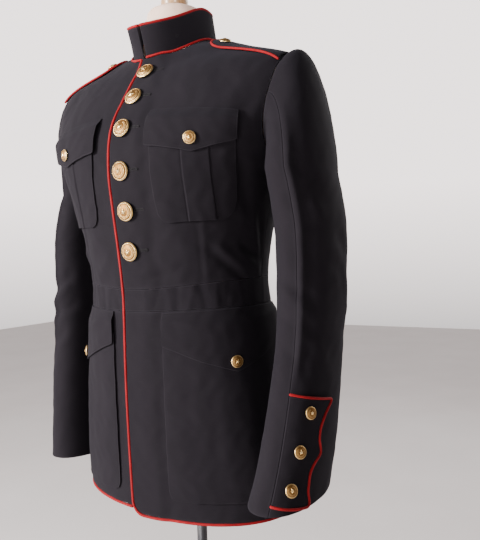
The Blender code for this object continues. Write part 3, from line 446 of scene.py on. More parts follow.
def wool_material(name, stitched=False):
    """Closely woven wool: a fine steep twill, a soft fibre haze, and rubbed edges."""
    s = Shader(name, (0.02, 0.018, 0.024), 0.85, sheen_weight=0.02, sheen_roughness=0.5,
               specular_ior_level=0.06)
    s.surface["Sheen Tint"].default_value = (0.75, 0.78, 1.0, 1)
    flat = s.cloth_map()
    twill = s.wave(s.cloth_map(radians(63)), 380.0, 0.6)
    threads = s.wave(flat, 520.0, 0.8, "Y")
    fibre = s.noise(flat, 1500.0, 3.0, 0.65)
    cloudy = s.noise(flat, 16.0, 4.0, 0.6)
    slub = s.noise(s.mapping(flat, (90.0, 700.0, 1.0)), 1.0, 2.0)
    base = s.mix(s.ramp(cloudy, 0.3, 0.7), (0.0082, 0.0068, 0.0088), (0.0122, 0.0102, 0.0128))
    lit = s.ramp(s.times(twill, fibre), 0.1, 0.6)
    colour = s.mix(0.55, base, s.mix(lit, (0.0052, 0.0044, 0.0062), (0.0175, 0.0148, 0.0182)))
    colour = s.mix(s.ramp(slub, 0.62, 0.75, 0.0, 0.25), colour, (0.024, 0.021, 0.026))
    colour = s.mix(s.times(s.attribute("edge"), 0.22), colour, (0.026, 0.023, 0.028))
    height = s.math("MULTIPLY_ADD", threads, 0.25, s.times(fibre, 0.5))
    height = s.math("ADD", s.times(twill, 0.6), height)
    if stitched:
        away = s.math("ABSOLUTE", s.math("SUBTRACT", s.attribute("inset"), STITCH_LINE))
        line = s.ramp(away, 0.03, 0.075, 1.0, 0.0)
        stitch = s.math("GREATER_THAN", s.wave(s.cloth_map(radians(45)), STITCH_SCALE), 0.3)
        thread = s.times(line, stitch)
        # Painted shade: the cloth is darkened along the stitched groove.
        colour = s.mix(s.times(line, 0.75), colour, (0.0016, 0.0014, 0.0020))
        colour = s.mix(s.times(thread, 0.6), colour, (0.017, 0.0145, 0.018))
        height = s.math("SUBTRACT", height, s.math("MULTIPLY_ADD", line, 1.6, s.times(thread, -1.1)))
    return s.finish(colour, s.ramp(fibre, 0.2, 0.8, 0.78, 0.95), height, 0.55, 0.00018)


def piping_material():
    """Red cloth drawn tight over a cord: a fine slanting weave."""
    s = Shader("red_piping_cloth", (0.45, 0.02, 0.02), 0.75, sheen_weight=0.03, sheen_roughness=0.5,
               specular_ior_level=0.12)
    s.surface["Sheen Tint"].default_value = (1.0, 0.42, 0.42, 1)
    flat = s.cloth_map()
    weave = s.wave(s.cloth_map(radians(45)), 900.0, 0.5)
    cloudy = s.noise(flat, 60.0, 3.0)
    fibre = s.noise(flat, 2500.0, 2.0)
    colour = s.mix(s.ramp(cloudy, 0.3, 0.7), (0.20, 0.0045, 0.0075), (0.29, 0.0085, 0.0125))
    # Painted shade darkens the hollows of the weave.
    colour = s.mix(s.ramp(weave, 0.0, 0.5, 0.45, 0.0), colour, (0.14, 0.002, 0.003))
    height = s.math("ADD", weave, s.times(fibre, 0.6))
    return s.finish(colour, s.ramp(fibre, 0.2, 0.8, 0.6, 0.85), height, 0.5, 0.00012)


def gilt_material():
    """Polished gilt brass, darker and rougher down in the stamped relief."""
    s = Shader("gilt_metal_buttons", (0.9, 0.6, 0.2), 0.25, metallic=1.0)
    low = s.attribute("hollow")
    patch = s.noise(s.place(), 420.0, 4.0)
    scratch = s.noise(s.place(), 2600.0, 2.0)
    bright = s.mix(s.ramp(patch, 0.35, 0.7), (0.90, 0.62, 0.24), (0.98, 0.76, 0.40))
    colour = s.mix(s.ramp(s.math("MULTIPLY_ADD", patch, 0.3, low), 0.35, 1.15), bright, (0.22, 0.105, 0.028))
    rough = s.math("ADD", s.ramp(low, 0.0, 1.0, 0.20, 0.50), s.ramp(scratch, 0.3, 0.8, 0.0, 0.12))
    return s.finish(colour, rough, scratch, 0.15, 0.00005)


def jersey_material():
    """Pale knitted cover of the form: fine upright ribs."""
    s = Shader("cream_jersey_cloth", (0.78, 0.58, 0.45), 0.85, sheen_weight=0.2, sheen_roughness=0.5)
    flat = s.cloth_map()
    ribs = s.wave(flat, 420.0, 0.3)
    loops = s.wave(flat, 300.0, 0.5, "Y")
    cloudy = s.noise(flat, 22.0, 3.0)
    colour = s.mix(s.ramp(cloudy, 0.3, 0.7), (0.78, 0.54, 0.42), (0.86, 0.63, 0.51))
    # Painted shade darkens the hollows between the ribs.
    colour = s.mix(s.ramp(ribs, 0.0, 0.5, 0.35, 0.0), colour, (0.55, 0.37, 0.27))
    return s.finish(colour, None, s.math("MULTIPLY_ADD", loops, 0.6, ribs), 0.5, 0.00025)


def wood_material():
    s = Shader("turned_wood_grain", (0.36, 0.2, 0.09), 0.4, coat_weight=0.3, coat_roughness=0.2)
    grain = s.noise(s.mapping(s.place(), (60.0, 60.0, 9.0)), 6.0, 5.0, 0.65, 1.2)
    pores = s.noise(s.mapping(s.place(), (900.0, 900.0, 60.0)), 1.0, 2.0)
    colour = s.mix(s.ramp(grain, 0.35, 0.68), (0.46, 0.27, 0.12), (0.23, 0.11, 0.045))
    colour = s.mix(s.ramp(pores, 0.62, 0.75, 0.0, 0.6), colour, (0.10, 0.045, 0.018))
    return s.finish(colour, s.ramp(grain, 0.2, 0.8, 0.32, 0.5), pores, 0.2, 0.0001)


def steel_material():
    """Dark enamelled steel with fine orange peel, dust and a few rubbed spots."""
    s = Shader("dark_steel_enamel", (0.05, 0.05, 0.055), 0.35, metallic=0.6, coat_weight=0.2,
               coat_roughness=0.25)
    peel = s.noise(s.place(), 700.0, 2.0)
    dust = s.noise(s.place(), 14.0, 6.0, 0.7)
    rub = s.noise(s.place(), 55.0, 5.0, 0.7)
    colour = s.mix(s.ramp(dust, 0.45, 0.75), (0.045, 0.045, 0.050), (0.10, 0.098, 0.095))
    colour = s.mix(s.ramp(rub, 0.66, 0.72, 0.0, 0.5), colour, (0.30, 0.29, 0.28))
    return s.finish(colour, s.ramp(dust, 0.3, 0.8, 0.30, 0.55), peel, 0.25, 0.0001)


def thread_and_slit_shade_material():
    """Dark silk twist for buttonholes; it also makes the thin dark cord of painted shade along each slit."""
    s = Shader("dark_thread_and_slit_shade", (0.008, 0.007, 0.009), 0.6, sheen_weight=0.02, specular_ior_level=0.12)
    twist = s.wave(s.cloth_map(radians(35)), 1200.0, 0.4)
    lit = s.ramp(s.times(twist, s.noise(s.cloth_map(), 300.0, 2.0)), 0.1, 0.5)
    return s.finish(s.mix(lit, (0.0030, 0.0027, 0.0034), (0.0150, 0.0130, 0.0160)), None, twist, 0.5, 0.0001)


WOOL = wool_material("navy_wool_cloth")
STITCHED = wool_material("navy_wool_stitched", True)
RED = piping_material()
GILT = gilt_material()
JERSEY = jersey_material()
WOOD = wood_material()
STEEL = steel_material()
THREAD_AND_SLIT_SHADE = thread_and_slit_shade_material()


# Mesh building


def build_mesh(name, points, faces, uv=None, **values):
    """A mesh from arrays: points, arrays of faces, a cloth map in metres and named point values."""
    mesh = bpy.data.meshes.new(name)
    corners = np.concatenate([part.reshape(-1) for part in faces]).astype(np.int32)
    sizes = np.concatenate([np.full(len(part), part.shape[1]) for part in faces])
    mesh.vertices.add(len(points))
    mesh.vertices.foreach_set("co", np.asarray(points, np.float32).ravel())
    mesh.loops.add(len(corners))
    mesh.loops.foreach_set("vertex_index", corners)
    mesh.polygons.add(len(sizes))
    mesh.polygons.foreach_set("loop_start", np.append(0, np.cumsum(sizes)[:-1]).astype(np.int32))
    mesh.update(calc_edges=True)
    mesh.validate()
    if uv is not None:
        layer = mesh.uv_layers.new(name="cloth")
        layer.data.foreach_set("uv", np.asarray(uv, np.float32)[corners].ravel())
    for key, value in values.items():
        layer = mesh.attributes.new(key, "FLOAT", "POINT")
        layer.data.foreach_set("value", np.asarray(value, np.float32).ravel())
    mesh.polygons.foreach_set("use_smooth", np.ones(len(sizes), bool))
    return mesh


def piece(name, mesh, paint, replaced=True):
    """Adds a piece of the object, riding on the one body, for the solid of its name if it has one."""
    obj = bpy.data.objects.new(name, mesh)
    bpy.context.scene.collection.objects.link(obj)
    mesh.materials.append(paint)
    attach(obj, "root")
    if replaced:
        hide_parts(name)
    return obj


def grid_faces(rows, columns, closed=False):
    i, j = np.meshgrid(np.arange(rows - 1), np.arange(columns if closed else columns - 1), indexing="ij")
    k = (j + 1) % columns
    corners = (i * columns + j, i * columns + k, (i + 1) * columns + k, (i + 1) * columns + j)
    return np.stack(corners, -1).reshape(-1, 4)


def capped(rings, tips):
    """A closed tube of rings between two tips: its points, and its faces as quads and triangles."""
    count, spokes = rings.shape[:2]
    j = np.arange(spokes)
    k = (j + 1) % spokes
    low = (count - 1) * spokes
    first, last = (np.full(spokes, count * spokes + n) for n in (0, 1))
    triangles = np.concatenate([np.stack([k, j, first], -1), np.stack([low + j, low + k, last], -1)])
    return np.concatenate([rings.reshape(-1, 3), tips]), [grid_faces(count, spokes, True), triangles]


def turned_over(faces):
    return [part[:, ::-1] for part in faces]


def facing_out(points, quads, normals):
    """Whether the faces agree with the normals of their corners, taken all together."""
    a, b, c = (points[quads[:, k]] for k in (0, 1, 2))
    return (np.cross(b - a, c - a) * normals[quads[:, 0]]).sum() > 0


def around_circle(radius, turn, y, z):
    """A level ring of points, from the front towards the wearer's left."""
    return np.stack([radius * np.sin(turn), y - radius * np.cos(turn), np.full(len(turn), z)], -1)


def rumple(points):
    """The slight unevenness of pressed wool that has been worn, the same for all that lies there."""
    x, y, z = np.moveaxis(points, -1, 0)
    lift = np.sin(150 * x + 60 * z + 2.0 * np.sin(70 * z + 30 * y))
    lift *= np.sin(110 * z - 70 * y + 1.3 * np.sin(90 * x))
    low = 0.6 * np.sin(230 * x + 190 * y - 90 * z + 1.7 * np.sin(120 * z + 1.0))
    return RUMPLE * (lift + low * np.sin(75 * z + 60 * x + 0.8))


def shell(name, points, normals, uv, folds, side=1, thick=CLOTH, held="draped", rests_on="form_body",
          rounding=ROUNDING):
    """A cloth piece on a grid of points: two faces, with rounded edges between them.

    rests_on names the pieces that carry it, with spaces between them. It is not used.
    """
    rows, columns = points.shape[:2]
    top, left = run_along(points, 0), run_along(points, 1)
    edge = np.minimum.reduce([top, top[-1:] - top, left, left[:, -1:] - left])
    inset = rounding - np.minimum(edge, rounding)
    if not name.startswith(("collar", "shoulder_strap")):
        folds = folds + rumple(points)
    drop = rounding - np.sqrt(np.maximum(rounding**2 - inset**2, 0))
    outer = points + normals * (folds - drop)[..., None]
    inner = points + normals * (folds - thick + drop)[..., None]
    flipped = np.array([side, 1.0, 1.0])
    skin = np.concatenate([outer.reshape(-1, 3), inner.reshape(-1, 3)]) * flipped + SHIFT
    count = rows * columns
    front = grid_faces(rows, columns)
    a, b, c, d = (outer.reshape(-1, 3)[front[:, k]] for k in range(4))
    if not facing_out(skin, front, normals.reshape(-1, 3) * flipped):
        front = front[:, ::-1]
    rim = np.concatenate([
        np.arange(columns - 1),
        np.arange(rows - 1) * columns + columns - 1,
        (rows - 1) * columns + np.arange(columns - 1, 0, -1),
        np.arange(rows - 1, 0, -1) * columns,
    ])
    after = np.roll(rim, -1)
    sides = np.stack([rim, after, after + count, rim + count], -1)
    a, b, c = (skin[sides[:, k]] for k in (0, 1, 2))
    middle = skin[rows // 2 * columns + columns // 2]
    if (np.cross(b - a, c - a) * (a - middle)).sum() < 0:
        sides = sides[:, ::-1]
    flat = uv.reshape(-1, 2) * (side, 1)
    mesh = build_mesh(
        name, skin, [front, front[:, ::-1] + count, sides], np.concatenate([flat, flat + INNER_MAP]),
        edge=np.tile(bell(edge, 0, WORN_EDGE).ravel(), 2),
        inset=np.tile((np.minimum(edge, INSET) / INSET).ravel(), 2),
    )
    sewn = held == "laid" or name.startswith(("collar", "waistband"))
    obj = piece(name, mesh, STITCHED if sewn else WOOL)


def edged(start, end, count):
    """Places from start to end, close together near both ends."""
    way = np.sign(end - start)
    near, far = start + way * EDGE_STEPS, end - way * EDGE_STEPS[::-1]
    return np.concatenate([near, np.linspace(near[-1], far[0], count)[1:-1], far])


def shares(length, count):
    """The same as shares of 1, for a length in metres."""
    return edged(0.0, length, count) / length


def lap_lift(distance):
    """Outer face of the left front above the body surface."""
    near, far = LAP_FADE
    return LAP_LIFT * (1 - smooth((distance - near) / (far - near)))


def nothing(x):
    return 0.0 * x


EDGE_ROWS = (
    (0.0, 0.0170), (0.30, 0.0170), (0.43, 0.0150), (0.50, 0.0140),
    (0.547, 0.0125), (0.58, 0.0070), (0.602, 0.0040), (0.630, 0.0012),
)


def left_edge(z):
    return -table(EDGE_ROWS, z)


def right_edge(z):
    return -UNDERLAP * smooth((0.650 - z) / 0.030)


def soft_folds(x, y, rows):
    """Soft ridges along short lines: both ends, width and height in millimetres, less than 0 for a trough."""
    lift = np.zeros_like(x)
    for x0, y0, x1, y1, width, height in np.array(rows) * MM:
        run = np.array([x1 - x0, y1 - y0])
        length = np.hypot(*run)
        ux, uy = run / length
        along = ((x - x0) * ux + (y - y0) * uy) / length
        fade = smooth((along + 0.15) / 0.4) * smooth((1.15 - along) / 0.4)
        lift += height * fade * bell((y - y0) * ux - (x - x0) * uy, 0, width)
    return lift


# Body panels


def front_folds(d, z):
    """Creases of a coat front: the pressed dart, pulls at the waist and slack over the chest."""
    return soft_folds(d, z, (
        (102, 400, 100, 312, 3.5, -0.9),
        (107, 395, 105, 315, 6, 0.9),
        (118, 366, 168, 318, 6.5, 2.8),
        (112, 356, 160, 309, 6, -2.2),
        (150, 352, 190, 318, 6.5, 2),
        (156, 366, 196, 334, 7, -1.8),
        (40, 356, 80, 318, 7.5, 1.6),
        (20, 322, 75, 334, 6, -1.3),
        (185, 400, 192, 312, 6, 1.5),
        (196, 420, 200, 330, 7, -1.5),
        (168, 480, 176, 400, 10, -2.5),
        (172, 560, 160, 500, 12, -2.1),
        (30, 440, 34, 350, 12, -1.5),
        (20, 580, 100, 572, 14, 1.6),
        (60, 390, 92, 352, 11, 1.6),
        (48, 470, 62, 400, 11, 1.3),
        (120, 590, 150, 560, 12, -1.5),
    ))


def back_folds(d, z):
    """The same for a coat back: the blades, a hollow beside the spine, and pulls at the waist."""
    return soft_folds(d, z, (
        (330, 400, 345, 325, 4, -0.6),
        (336, 398, 350, 328, 7, 0.7),
        (250, 350, 300, 328, 8, 1),
        (255, 372, 320, 340, 8, -0.9),
        (300, 470, 330, 400, 14, -1.2),
        (360, 560, 380, 470, 16, -1),
        (270, 520, 285, 430, 12, 1.2),
        (310, 590, 370, 585, 12, -0.8),
    ))


def upper_levels():
    """Rows of a body panel from the waistband seam to the neck, closer where the armhole turns."""
    low = level_at(edged(BAND_TOP + SEAM / 2, float(front_z(ARM_LOW)) - 0.0005, 40)[:-4])
    turn = ARM_LOW + (ARM_HIGH - ARM_LOW) * (1 - np.cos(pi * np.arange(47) / 46)) / 2
    top = NECK_LEVEL - (NECK_LEVEL - ARM_HIGH) * (1 - np.linspace(0.06, 1, 14)) ** 1.3
    return np.concatenate([low, turn, top])


def panel(name, side, distances, levels, heights, lift, folds, **held):
    """A cloth piece on the body, by distance round from the centre front and level."""
    angles = angle_at(distances, levels)
    normals = torso_normal(angles, levels)
    points = torso(angles, levels) + normals * lift(distances)[..., None]
    shell(name, points, normals, np.stack([distances, heights], -1), folds, side, **held)


def ring_rows(levels, start, end, columns):
    """Distances, levels and heights of a grid, one ring a row, between two edges given by level."""
    distances = np.array([edged(float(start(v)), float(end(v)), columns) for v in levels])
    levels = np.repeat(levels[:, None], distances.shape[1], 1)
    return distances, levels, front_z(levels)


def body_panel(name, side, back, edge=None, lift=nothing, folds=front_folds):
    gap = SEAM / 2 if back else -SEAM / 2
    d, levels, z = ring_rows(
        upper_levels(),
        lambda level: back_length(level) - gap if back else edge(front_z(level)),
        lambda level: distance_at(arm_angle(level, back), level) + gap,
        74,
    )
    inside = np.minimum(np.abs(d - d[:, :1]), np.abs(d - d[:, -1:]))
    panel(name, side, d, levels, z, lift, folds(d, z) * smooth(inside / 0.012))


body_panel("front_left", 1, False, left_edge, lap_lift)
body_panel("front_right", -1, False, right_edge)
body_panel("back_left", 1, True, folds=back_folds)
body_panel("back_right", -1, True, folds=back_folds)


# Waistband and skirts


def band_folds(d, z):
    """Small upright ripples where the waist is drawn in."""
    spots = (18, 34, 52, 64, 83, 99, 117, 133, 152, 170, 200, 235, 262, 290, 330, 362)
    sizes = (5, 7, 6, 8, 7, 6, 8, 6, 7, 9, 6, 8, 6, 7, 6, 5)
    lift = np.zeros_like(d)
    for k, (spot, size) in enumerate(zip(spots, sizes)):
        centre = spot * MM + 0.004 * np.sin(2.1 * k) * (z - 0.296) / 0.015
        lift += size * 0.00010 * bell(d, centre, 0.0045) * (-1) ** k
    return lift


def waistband(name, side, edge, lift=nothing):
    d, levels, z = ring_rows(
        level_at(edged(BAND_LOW + SEAM / 2, BAND_TOP - SEAM / 2, 18)),
        lambda level: edge(front_z(level)),
        lambda level: back_length(level) - SEAM / 2,
        150,
    )
    panel(name, side, d, levels, z, lift, band_folds(d, z) * smooth((d - d[:, :1]) / 0.012))


waistband("waistband_left", 1, left_edge, lap_lift)
waistband("waistband_right", -1, right_edge)


def right_rise(angle):
    """The right half's hem above the left half's, by ring angle."""
    ahead = RIGHT_HEM_RISE + (SIDE_RISE - RIGHT_HEM_RISE) * smooth(np.abs(angle) / 1.2)
    behind = SIDE_RISE * (1 - smooth((angle - pi / 2) / 1.4))
    return np.where(angle < pi / 2 - 0.01, ahead, behind)


def skirt_folds(d, z):
    """A skirt hangs with a few long shallow waves, and is drawn in just under the band."""
    return soft_folds(d, z, (
        (30, 275, 34, 50, 14, -1.7),
        (240, 275, 262, 10, 16, -2.9),
        (225, 270, 236, 20, 12, 2.3),
        (150, 190, 170, 5, 22, 2.3),
        (105, 205, 112, 5, 18, -1.9),
        (60, 270, 120, 245, 6, 1),
        (290, 275, 318, 10, 18, 3.6),
        (320, 275, 352, 10, 16, -2.9),
        (385, 275, 420, 10, 16, 2.3),
    ))


def skirt(name, side, back, edge=None, lift=nothing, rise=nothing):
    share = shares(0.24, 70)
    foot = rise(pi * (1 - share / 2) if back else pi / 2 * share)
    if not back:
        gap = np.clip(1 - share * side_length(0.0) / CORNER, 0, 1)
        foot = foot + CORNER * (1 - np.sqrt(1 - gap**2))
    top = BAND_LOW - SEAM / 2
    z = foot + (top - foot) * shares(top, 78)[:, None]
    levels = level_at(z)
    first, last = edge(z) if edge else back_length(levels) - SEAM / 2, side_length(levels)
    d = first + (last + (SEAM if back else -SEAM) / 2 - first) * share
    waves = skirt_folds(d, z) * smooth(np.abs(d - first) / 0.02)
    panel(name, side, d, levels, z, lift, waves, held="hung", rests_on="waistband_" + LABEL[side])


skirt("skirt_front_left", 1, False, left_edge, lap_lift)
skirt("skirt_front_right", -1, False, right_edge, rise=right_rise)
skirt("skirt_back_left", 1, True)
skirt("skirt_back_right", -1, True, rise=right_rise)


# Sleeves


def sleeve_folds(turn, z):
    """Wrinkles across the inside of the elbow, slack below the shoulder and a pressed front edge."""
    return soft_folds(turn * SLEEVE_RADIUS, z, (
        (-30, 330, 30, 300, 8, -2.8),
        (-20, 310, 45, 270, 8, 2.8),
        (-40, 285, 20, 262, 7, -2.4),
        (10, 262, 65, 225, 8, 2.3),
        (-15, 240, 40, 205, 9, -2),
        (30, 420, 80, 380, 12, 2.4),
        (60, 400, 100, 350, 12, -2.4),
        (95, 330, 125, 260, 12, 2.3),
        (70, 230, 110, 180, 11, -2),
        (20, 470, 60, 440, 12, -2),
        (140, 470, 160, 400, 13, -2.4),
        (180, 380, 210, 300, 12, 2.4),
        (18, 520, 18, 80, 5.5, 2.6),
        (33, 520, 33, 80, 10, -1.9),
        (48, 350, 90, 330, 8, -1.6),
        (50, 300, 85, 322, 8, 1.4),
    ))


def sleeve_half(name, side, rows, seam, first):
    first = seam + first
    gap = SEAM / 2 / 0.05  # as an angle
    turns = first + gap + (pi - 2 * gap) * shares(0.20, 58)
    ats = np.concatenate([
        [0, 0.002, 0.006, 0.013, 0.024, 0.04],
        np.linspace(0.07, 1, 26),
        1 + np.linspace(0, len(rows) - 1, 86)[1:-1],
    ])
    cuff = len(rows) - EDGE_STEPS[::-1] / 0.045
    turns, ats = np.meshgrid(turns, np.concatenate([ats[ats < cuff[0] - 0.02], cuff]))
    points = sleeve(rows, turns, ats)
    normals = sleeve_normal(rows, turns, ats)
    normals[0] = normals[1]
    z = points[..., 2]
    around = np.mod(turns + pi, 2 * pi) - pi
    rise = (sleeve_folds(around, z) + sleeve_folds(around + 2 * pi, z)) * smooth(ats / 0.5)
    rise *= smooth((z - 0.19) / 0.05)
    uv = np.stack([(turns - first) * SLEEVE_RADIUS, z], -1)
    shell(name, points, normals, uv, rise, side, held="hung", rests_on="front_" + LABEL[side])


for label, side, rows, seam in (("left", 1, LEFT_SLEEVE, LEFT_SEAM), ("right", -1, RIGHT_SLEEVE, RIGHT_SEAM)):
    sleeve_half(f"sleeve_{label}_outer", side, rows, seam, 0)
    sleeve_half(f"sleeve_{label}_inner", side, rows, seam, pi)


# Collar

COLLAR_TOP = np.array([672, 710, 716, 56, -91, 0, 54, 2.05, 2.05]) * RING_UNITS
COLLAR_END = 0.026
COLLAR_CLOTH = 0.0030


def collar_point(angle, f):
    """Outer face of the collar: f is 0 at the neck seam and 1 at the top edge."""
    angle, f = alike(angle, f)
    base = torso(angle, NECK_LEVEL)
    base = base + unit(base - torso(angle, NECK_LEVEL - 0.05)) * 0.0009
    return base * (1 - f[..., None]) + ring(angle, COLLAR_TOP) * f[..., None]


def collar_normal(angle, f):
    return facing(collar_point, angle, f, 1)


turns, heights = np.meshgrid(shares(0.36, 144) * (2 * pi - 2 * COLLAR_END) + COLLAR_END, shares(0.046, 20))
shell("collar", collar_point(turns, heights), collar_normal(turns, heights),
      np.stack([turns * 0.06, heights * 0.046], -1), 0.0005 * np.sin(3 * turns) * np.sin(pi * heights),
      thick=COLLAR_CLOTH, rounding=0.0013, rests_on="front_left front_right")


# The dress form and its stand

FORM_LOW = 0.120
FORM_NECK = (0.0, -0.002)
FORM_PLATE = 0.008
FORM_TOP = 0.724


def form_body():
    """A padded torso with flat arm plates and a neck, close inside the cloth."""
    turns = np.linspace(0, 2 * pi, 120, endpoint=False)
    rings = []
    for level in np.linspace(level_at(FORM_LOW), NECK_LEVEL - 0.35, 90):
        gap = 0.0050 - 0.0028 * smooth(level - 9.6)
        rings.append(torso(turns, level) - torso_normal(turns, level) * (0.002 + gap))
    rings[0][:, 2] = FORM_LOW
    middle = np.array([0, -0.012, 0])
    rings.append((torso(turns, NECK_LEVEL) - middle) * (0.80, 0.82, 1) + middle - (0, 0, 0.006))
    for radius, z, f in (
        (0.047, 0.692, 0.5), (0.0445, 0.700, 0.9), (0.043, 0.706, 1.0), (0.0415, 0.714, 1.0),
        (0.038, 0.7185, 1.0), (0.030, 0.7222, 1.0), (0.018, 0.7238, 1.0), (0.004, FORM_TOP, 1.0),
    ):
        rings.append(around_circle(radius, turns, FORM_NECK[1] * f, z))
    points = np.array(rings)
    for side in (1, -1):
        flat = points * (side, 1, 1)
        out = np.maximum(beyond_arm(flat) + FORM_PLATE, 0)
        points = (flat - out[..., None] * ARM_NORMAL) * (side, 1, 1)
    skin, faces = capped(points, [[0, points[0, :, 1].mean(), FORM_LOW], [*FORM_NECK, FORM_TOP]])
    uv = np.stack([np.repeat(turns[None] * 0.12, len(points), 0), points[..., 2]], -1).reshape(-1, 2)
    uv = np.concatenate([uv, [[0, 0], [0, 0.75]]])
    piece("form_body", build_mesh("form_body", skin + SHIFT, faces, uv), JERSEY)


form_body()


def turned(name, profile, steps, paint, centre):
    """A solid turned from (radius, height) places, from its top to its underside."""
    radius, height = np.array(profile, float).T
    turn = np.linspace(0, 2 * pi, steps, endpoint=False)
    circle = np.stack([np.cos(turn), np.sin(turn), np.zeros(steps)], -1)
    rings = radius[1:-1, None, None] * circle + height[1:-1, None, None] * UP
    points, faces = capped(rings, [height[0] * UP, height[-1] * UP])
    mesh = build_mesh(name, points + centre + SHIFT, turned_over(faces))
    mesh.set_sharp_from_angle(angle=radians(40))
    piece(name, mesh, paint)


knob = np.array([
    (0.004, 0.0575), (0.010, 0.054), (0.0122, 0.047), (0.009, 0.036), (0.0062, 0.029), (0.0085, 0.0235),
    (0.0105, 0.0225), (0.0105, 0.0205), (0.0185, 0.0165), (0.0205, 0.010), (0.0195, 0.003), (0.018, 0.0),
])
knob = spline_rows(knob, np.linspace(0, len(knob) - 1, 60))
turned("form_finial", [(0, 0.058), *knob, (0, 0)], 72, WOOD, (*FORM_NECK, 0.7243))
turned("stand_pole", (
    (0, FORM_LOW - 0.0003), (0.0074, FORM_LOW - 0.0003), (0.008, FORM_LOW - 0.0012),
    (0.008, 0.0355 - HEM_HEIGHT), (0, 0.0355 - HEM_HEIGHT),
), 64, STEEL, (0, POLE_Y, 0))
turned("stand_base", (
    (0, 0.0352), (0.0212, 0.0352), (0.0222, 0.0347), (0.0255, 0.0305), (0.0262, 0.0285), (0.0290, 0.0165),
    (0.0315, 0.0141), (0.045, 0.0136), (0.120, 0.0127), (0.165, 0.0120), (0.1745, 0.0105), (0.1792, 0.0075),
    (0.1800, 0.0045), (0.1800, 0.0012), (0.1790, 0), (0, 0),
), 160, STEEL, (0, POLE_Y, -HEM_HEIGHT))


# What is sewn on the body

# Pocket outlines in millimetres: height, near side, far side
CHEST_POCKET = (
    (517, 48, 162), (470, 48.5, 161.5), (450, 49, 161), (422, 50, 158),
    (408, 52, 153), (400, 57, 145), (396.5, 65, 137),
)
HIP_POCKET = ((250, 42, 232), (55, 42, 232), (38, 42.5, 231.5), (30, 46, 228), (27, 53, 221))
# Edges of the flaps: distance from the centre front and height
CHEST_FLAP_TOP = MM * np.array([(42.5, 545.5), (117, 540.5), (163, 537.2)])
CHEST_FLAP_LOW = MM * np.array([
    (42.5, 496.5), (58, 495), (90, 489.5), (105.5, 486), (120, 489.7), (134, 494.3), (163, 502),
])
HIP_FLAP_TOP = MM * np.array([(42, 279.5), (236, 279.5)])
HIP_FLAP_LOW = MM * np.array([
    (42, 234.5), (60, 228.5), (96, 214), (142, 199.2), (180, 215), (218, 231.6), (236, 239.5),
])
PLEAT = 0.0012
CHEST_FLAP_LIFT = FLAP_LIFT + PLEAT
PLEAT_SIDES = (0.0925, 0.1275)


def sewn_patch(name, side, d, z, under, on, extra):
    """A patch on the body, under above the cloth, which carries it along with its own creases."""
    points, normals = on_body(d, z)
    lift = under + PATCH + (lap_lift(d) if side > 0 else 0)
    creases = 0.6 * np.where(z > BAND_TOP, front_folds(d, z), skirt_folds(d, z))
    shell(name, points, normals, np.stack([d, z], -1), lift + creases + extra, side,
          thick=PATCH, held="laid", rests_on=on, rounding=PATCH_ROUNDING)


def rounded_table(rows, at, reach):
    """A table's value with its corners eased over a short reach."""
    return sum(table(rows, np.asarray(at) + reach * k) for k in (-1, -0.5, 0, 0.5, 1)) / 5


def pocket_grid(rows, rise, columns, lines):
    rows = np.array(rows[::-1]) * MM
    z = edged(rows[0, 0], rows[-1, 0], lines)
    near, far = (np.interp(z, rows[:, 0], rows[:, k])[:, None] for k in (1, 2))
    return alike(near + (far - near) * shares(rise, columns), z[:, None])


def chest_pocket(name, side, on):
    d, z = pocket_grid(CHEST_POCKET, 0.112, 110, 56)
    a, b = PLEAT_SIDES
    pleat = smooth((d - a) / 0.0009 + 0.5) * smooth((b - d) / 0.0009 + 0.5)
    soft = 0.0006 * bell(d, 0.070, 0.012) + 0.0005 * bell(d, 0.147, 0.008)
    fold = 0.0005 * (bell(d, a - 0.0012, 0.0007) + bell(d, b + 0.0012, 0.0007))
    sewn_patch(name, side, d, z, PATCH_LIFT + 0.0002 + PLEAT * pleat, on, soft - fold)


def hip_pocket(name, side, on):
    d, z = pocket_grid(HIP_POCKET, 0.190, 70, 72)
    soft = 0.0014 * np.sin(np.clip((d - 0.042) / 0.19, 0, 1) * pi)
    soft *= smooth((0.25 - z) / 0.06) * smooth((z - 0.03) / 0.05)
    waves = ((75, 200, 82, 50, 12, -0.8), (120, 190, 128, 50, 14, 0.8), (175, 200, 182, 60, 12, -1))
    sewn_patch(name, side, d, z, PATCH_LIFT + 0.0002, on, soft + soft_folds(d, z, waves))


def flap(name, side, top, low, lift, on, curl):
    first, last = top[0][0], top[-1][0]
    d = edged(first, last, 80)
    share = shares(0.05, 32)[:, None]
    lows = rounded_table(low, d, 0.0016)
    corner = 0.005
    for end in (first, last):
        near = np.clip(1 - np.abs(d - end) / corner, 0, 1)
        lows = lows + corner * 0.55 * (1 - np.sqrt(1 - near**2))
    z = table(top, d) * (1 - share) + lows * share
    under = PATCH_LIFT + (lift - PATCH_LIFT) * smooth((share - 0.04) / 0.25)
    belly = curl * np.sin(pi * np.clip((d - first) / (last - first), 0, 1)) * share**2
    seam = 0.0006 * bell(share, 0, 0.03)
    sewn_patch(name, side, np.repeat(d[None], len(share), 0), z, under, on, belly - seam)


for side, label in SIDES:
    pocket = "chest_pocket_" + label
    chest_pocket(pocket, side, "front_" + label)
    flap("chest_flap_" + label, side, CHEST_FLAP_TOP, CHEST_FLAP_LOW, CHEST_FLAP_LIFT, pocket, 0.0004)
    pocket = "hip_pocket_" + label
    hip_pocket(pocket, side, "skirt_front_" + label)
    flap("hip_flap_" + label, side, HIP_FLAP_TOP, HIP_FLAP_LOW, FLAP_LIFT + 0.0008, pocket, 0.0010)


# Cuff flaps

CUFF_LIFT = 0.0011
CUFF_SEAM = 1.0  # degrees past the sleeve's seam
CUFF_SLOPE = 0.008
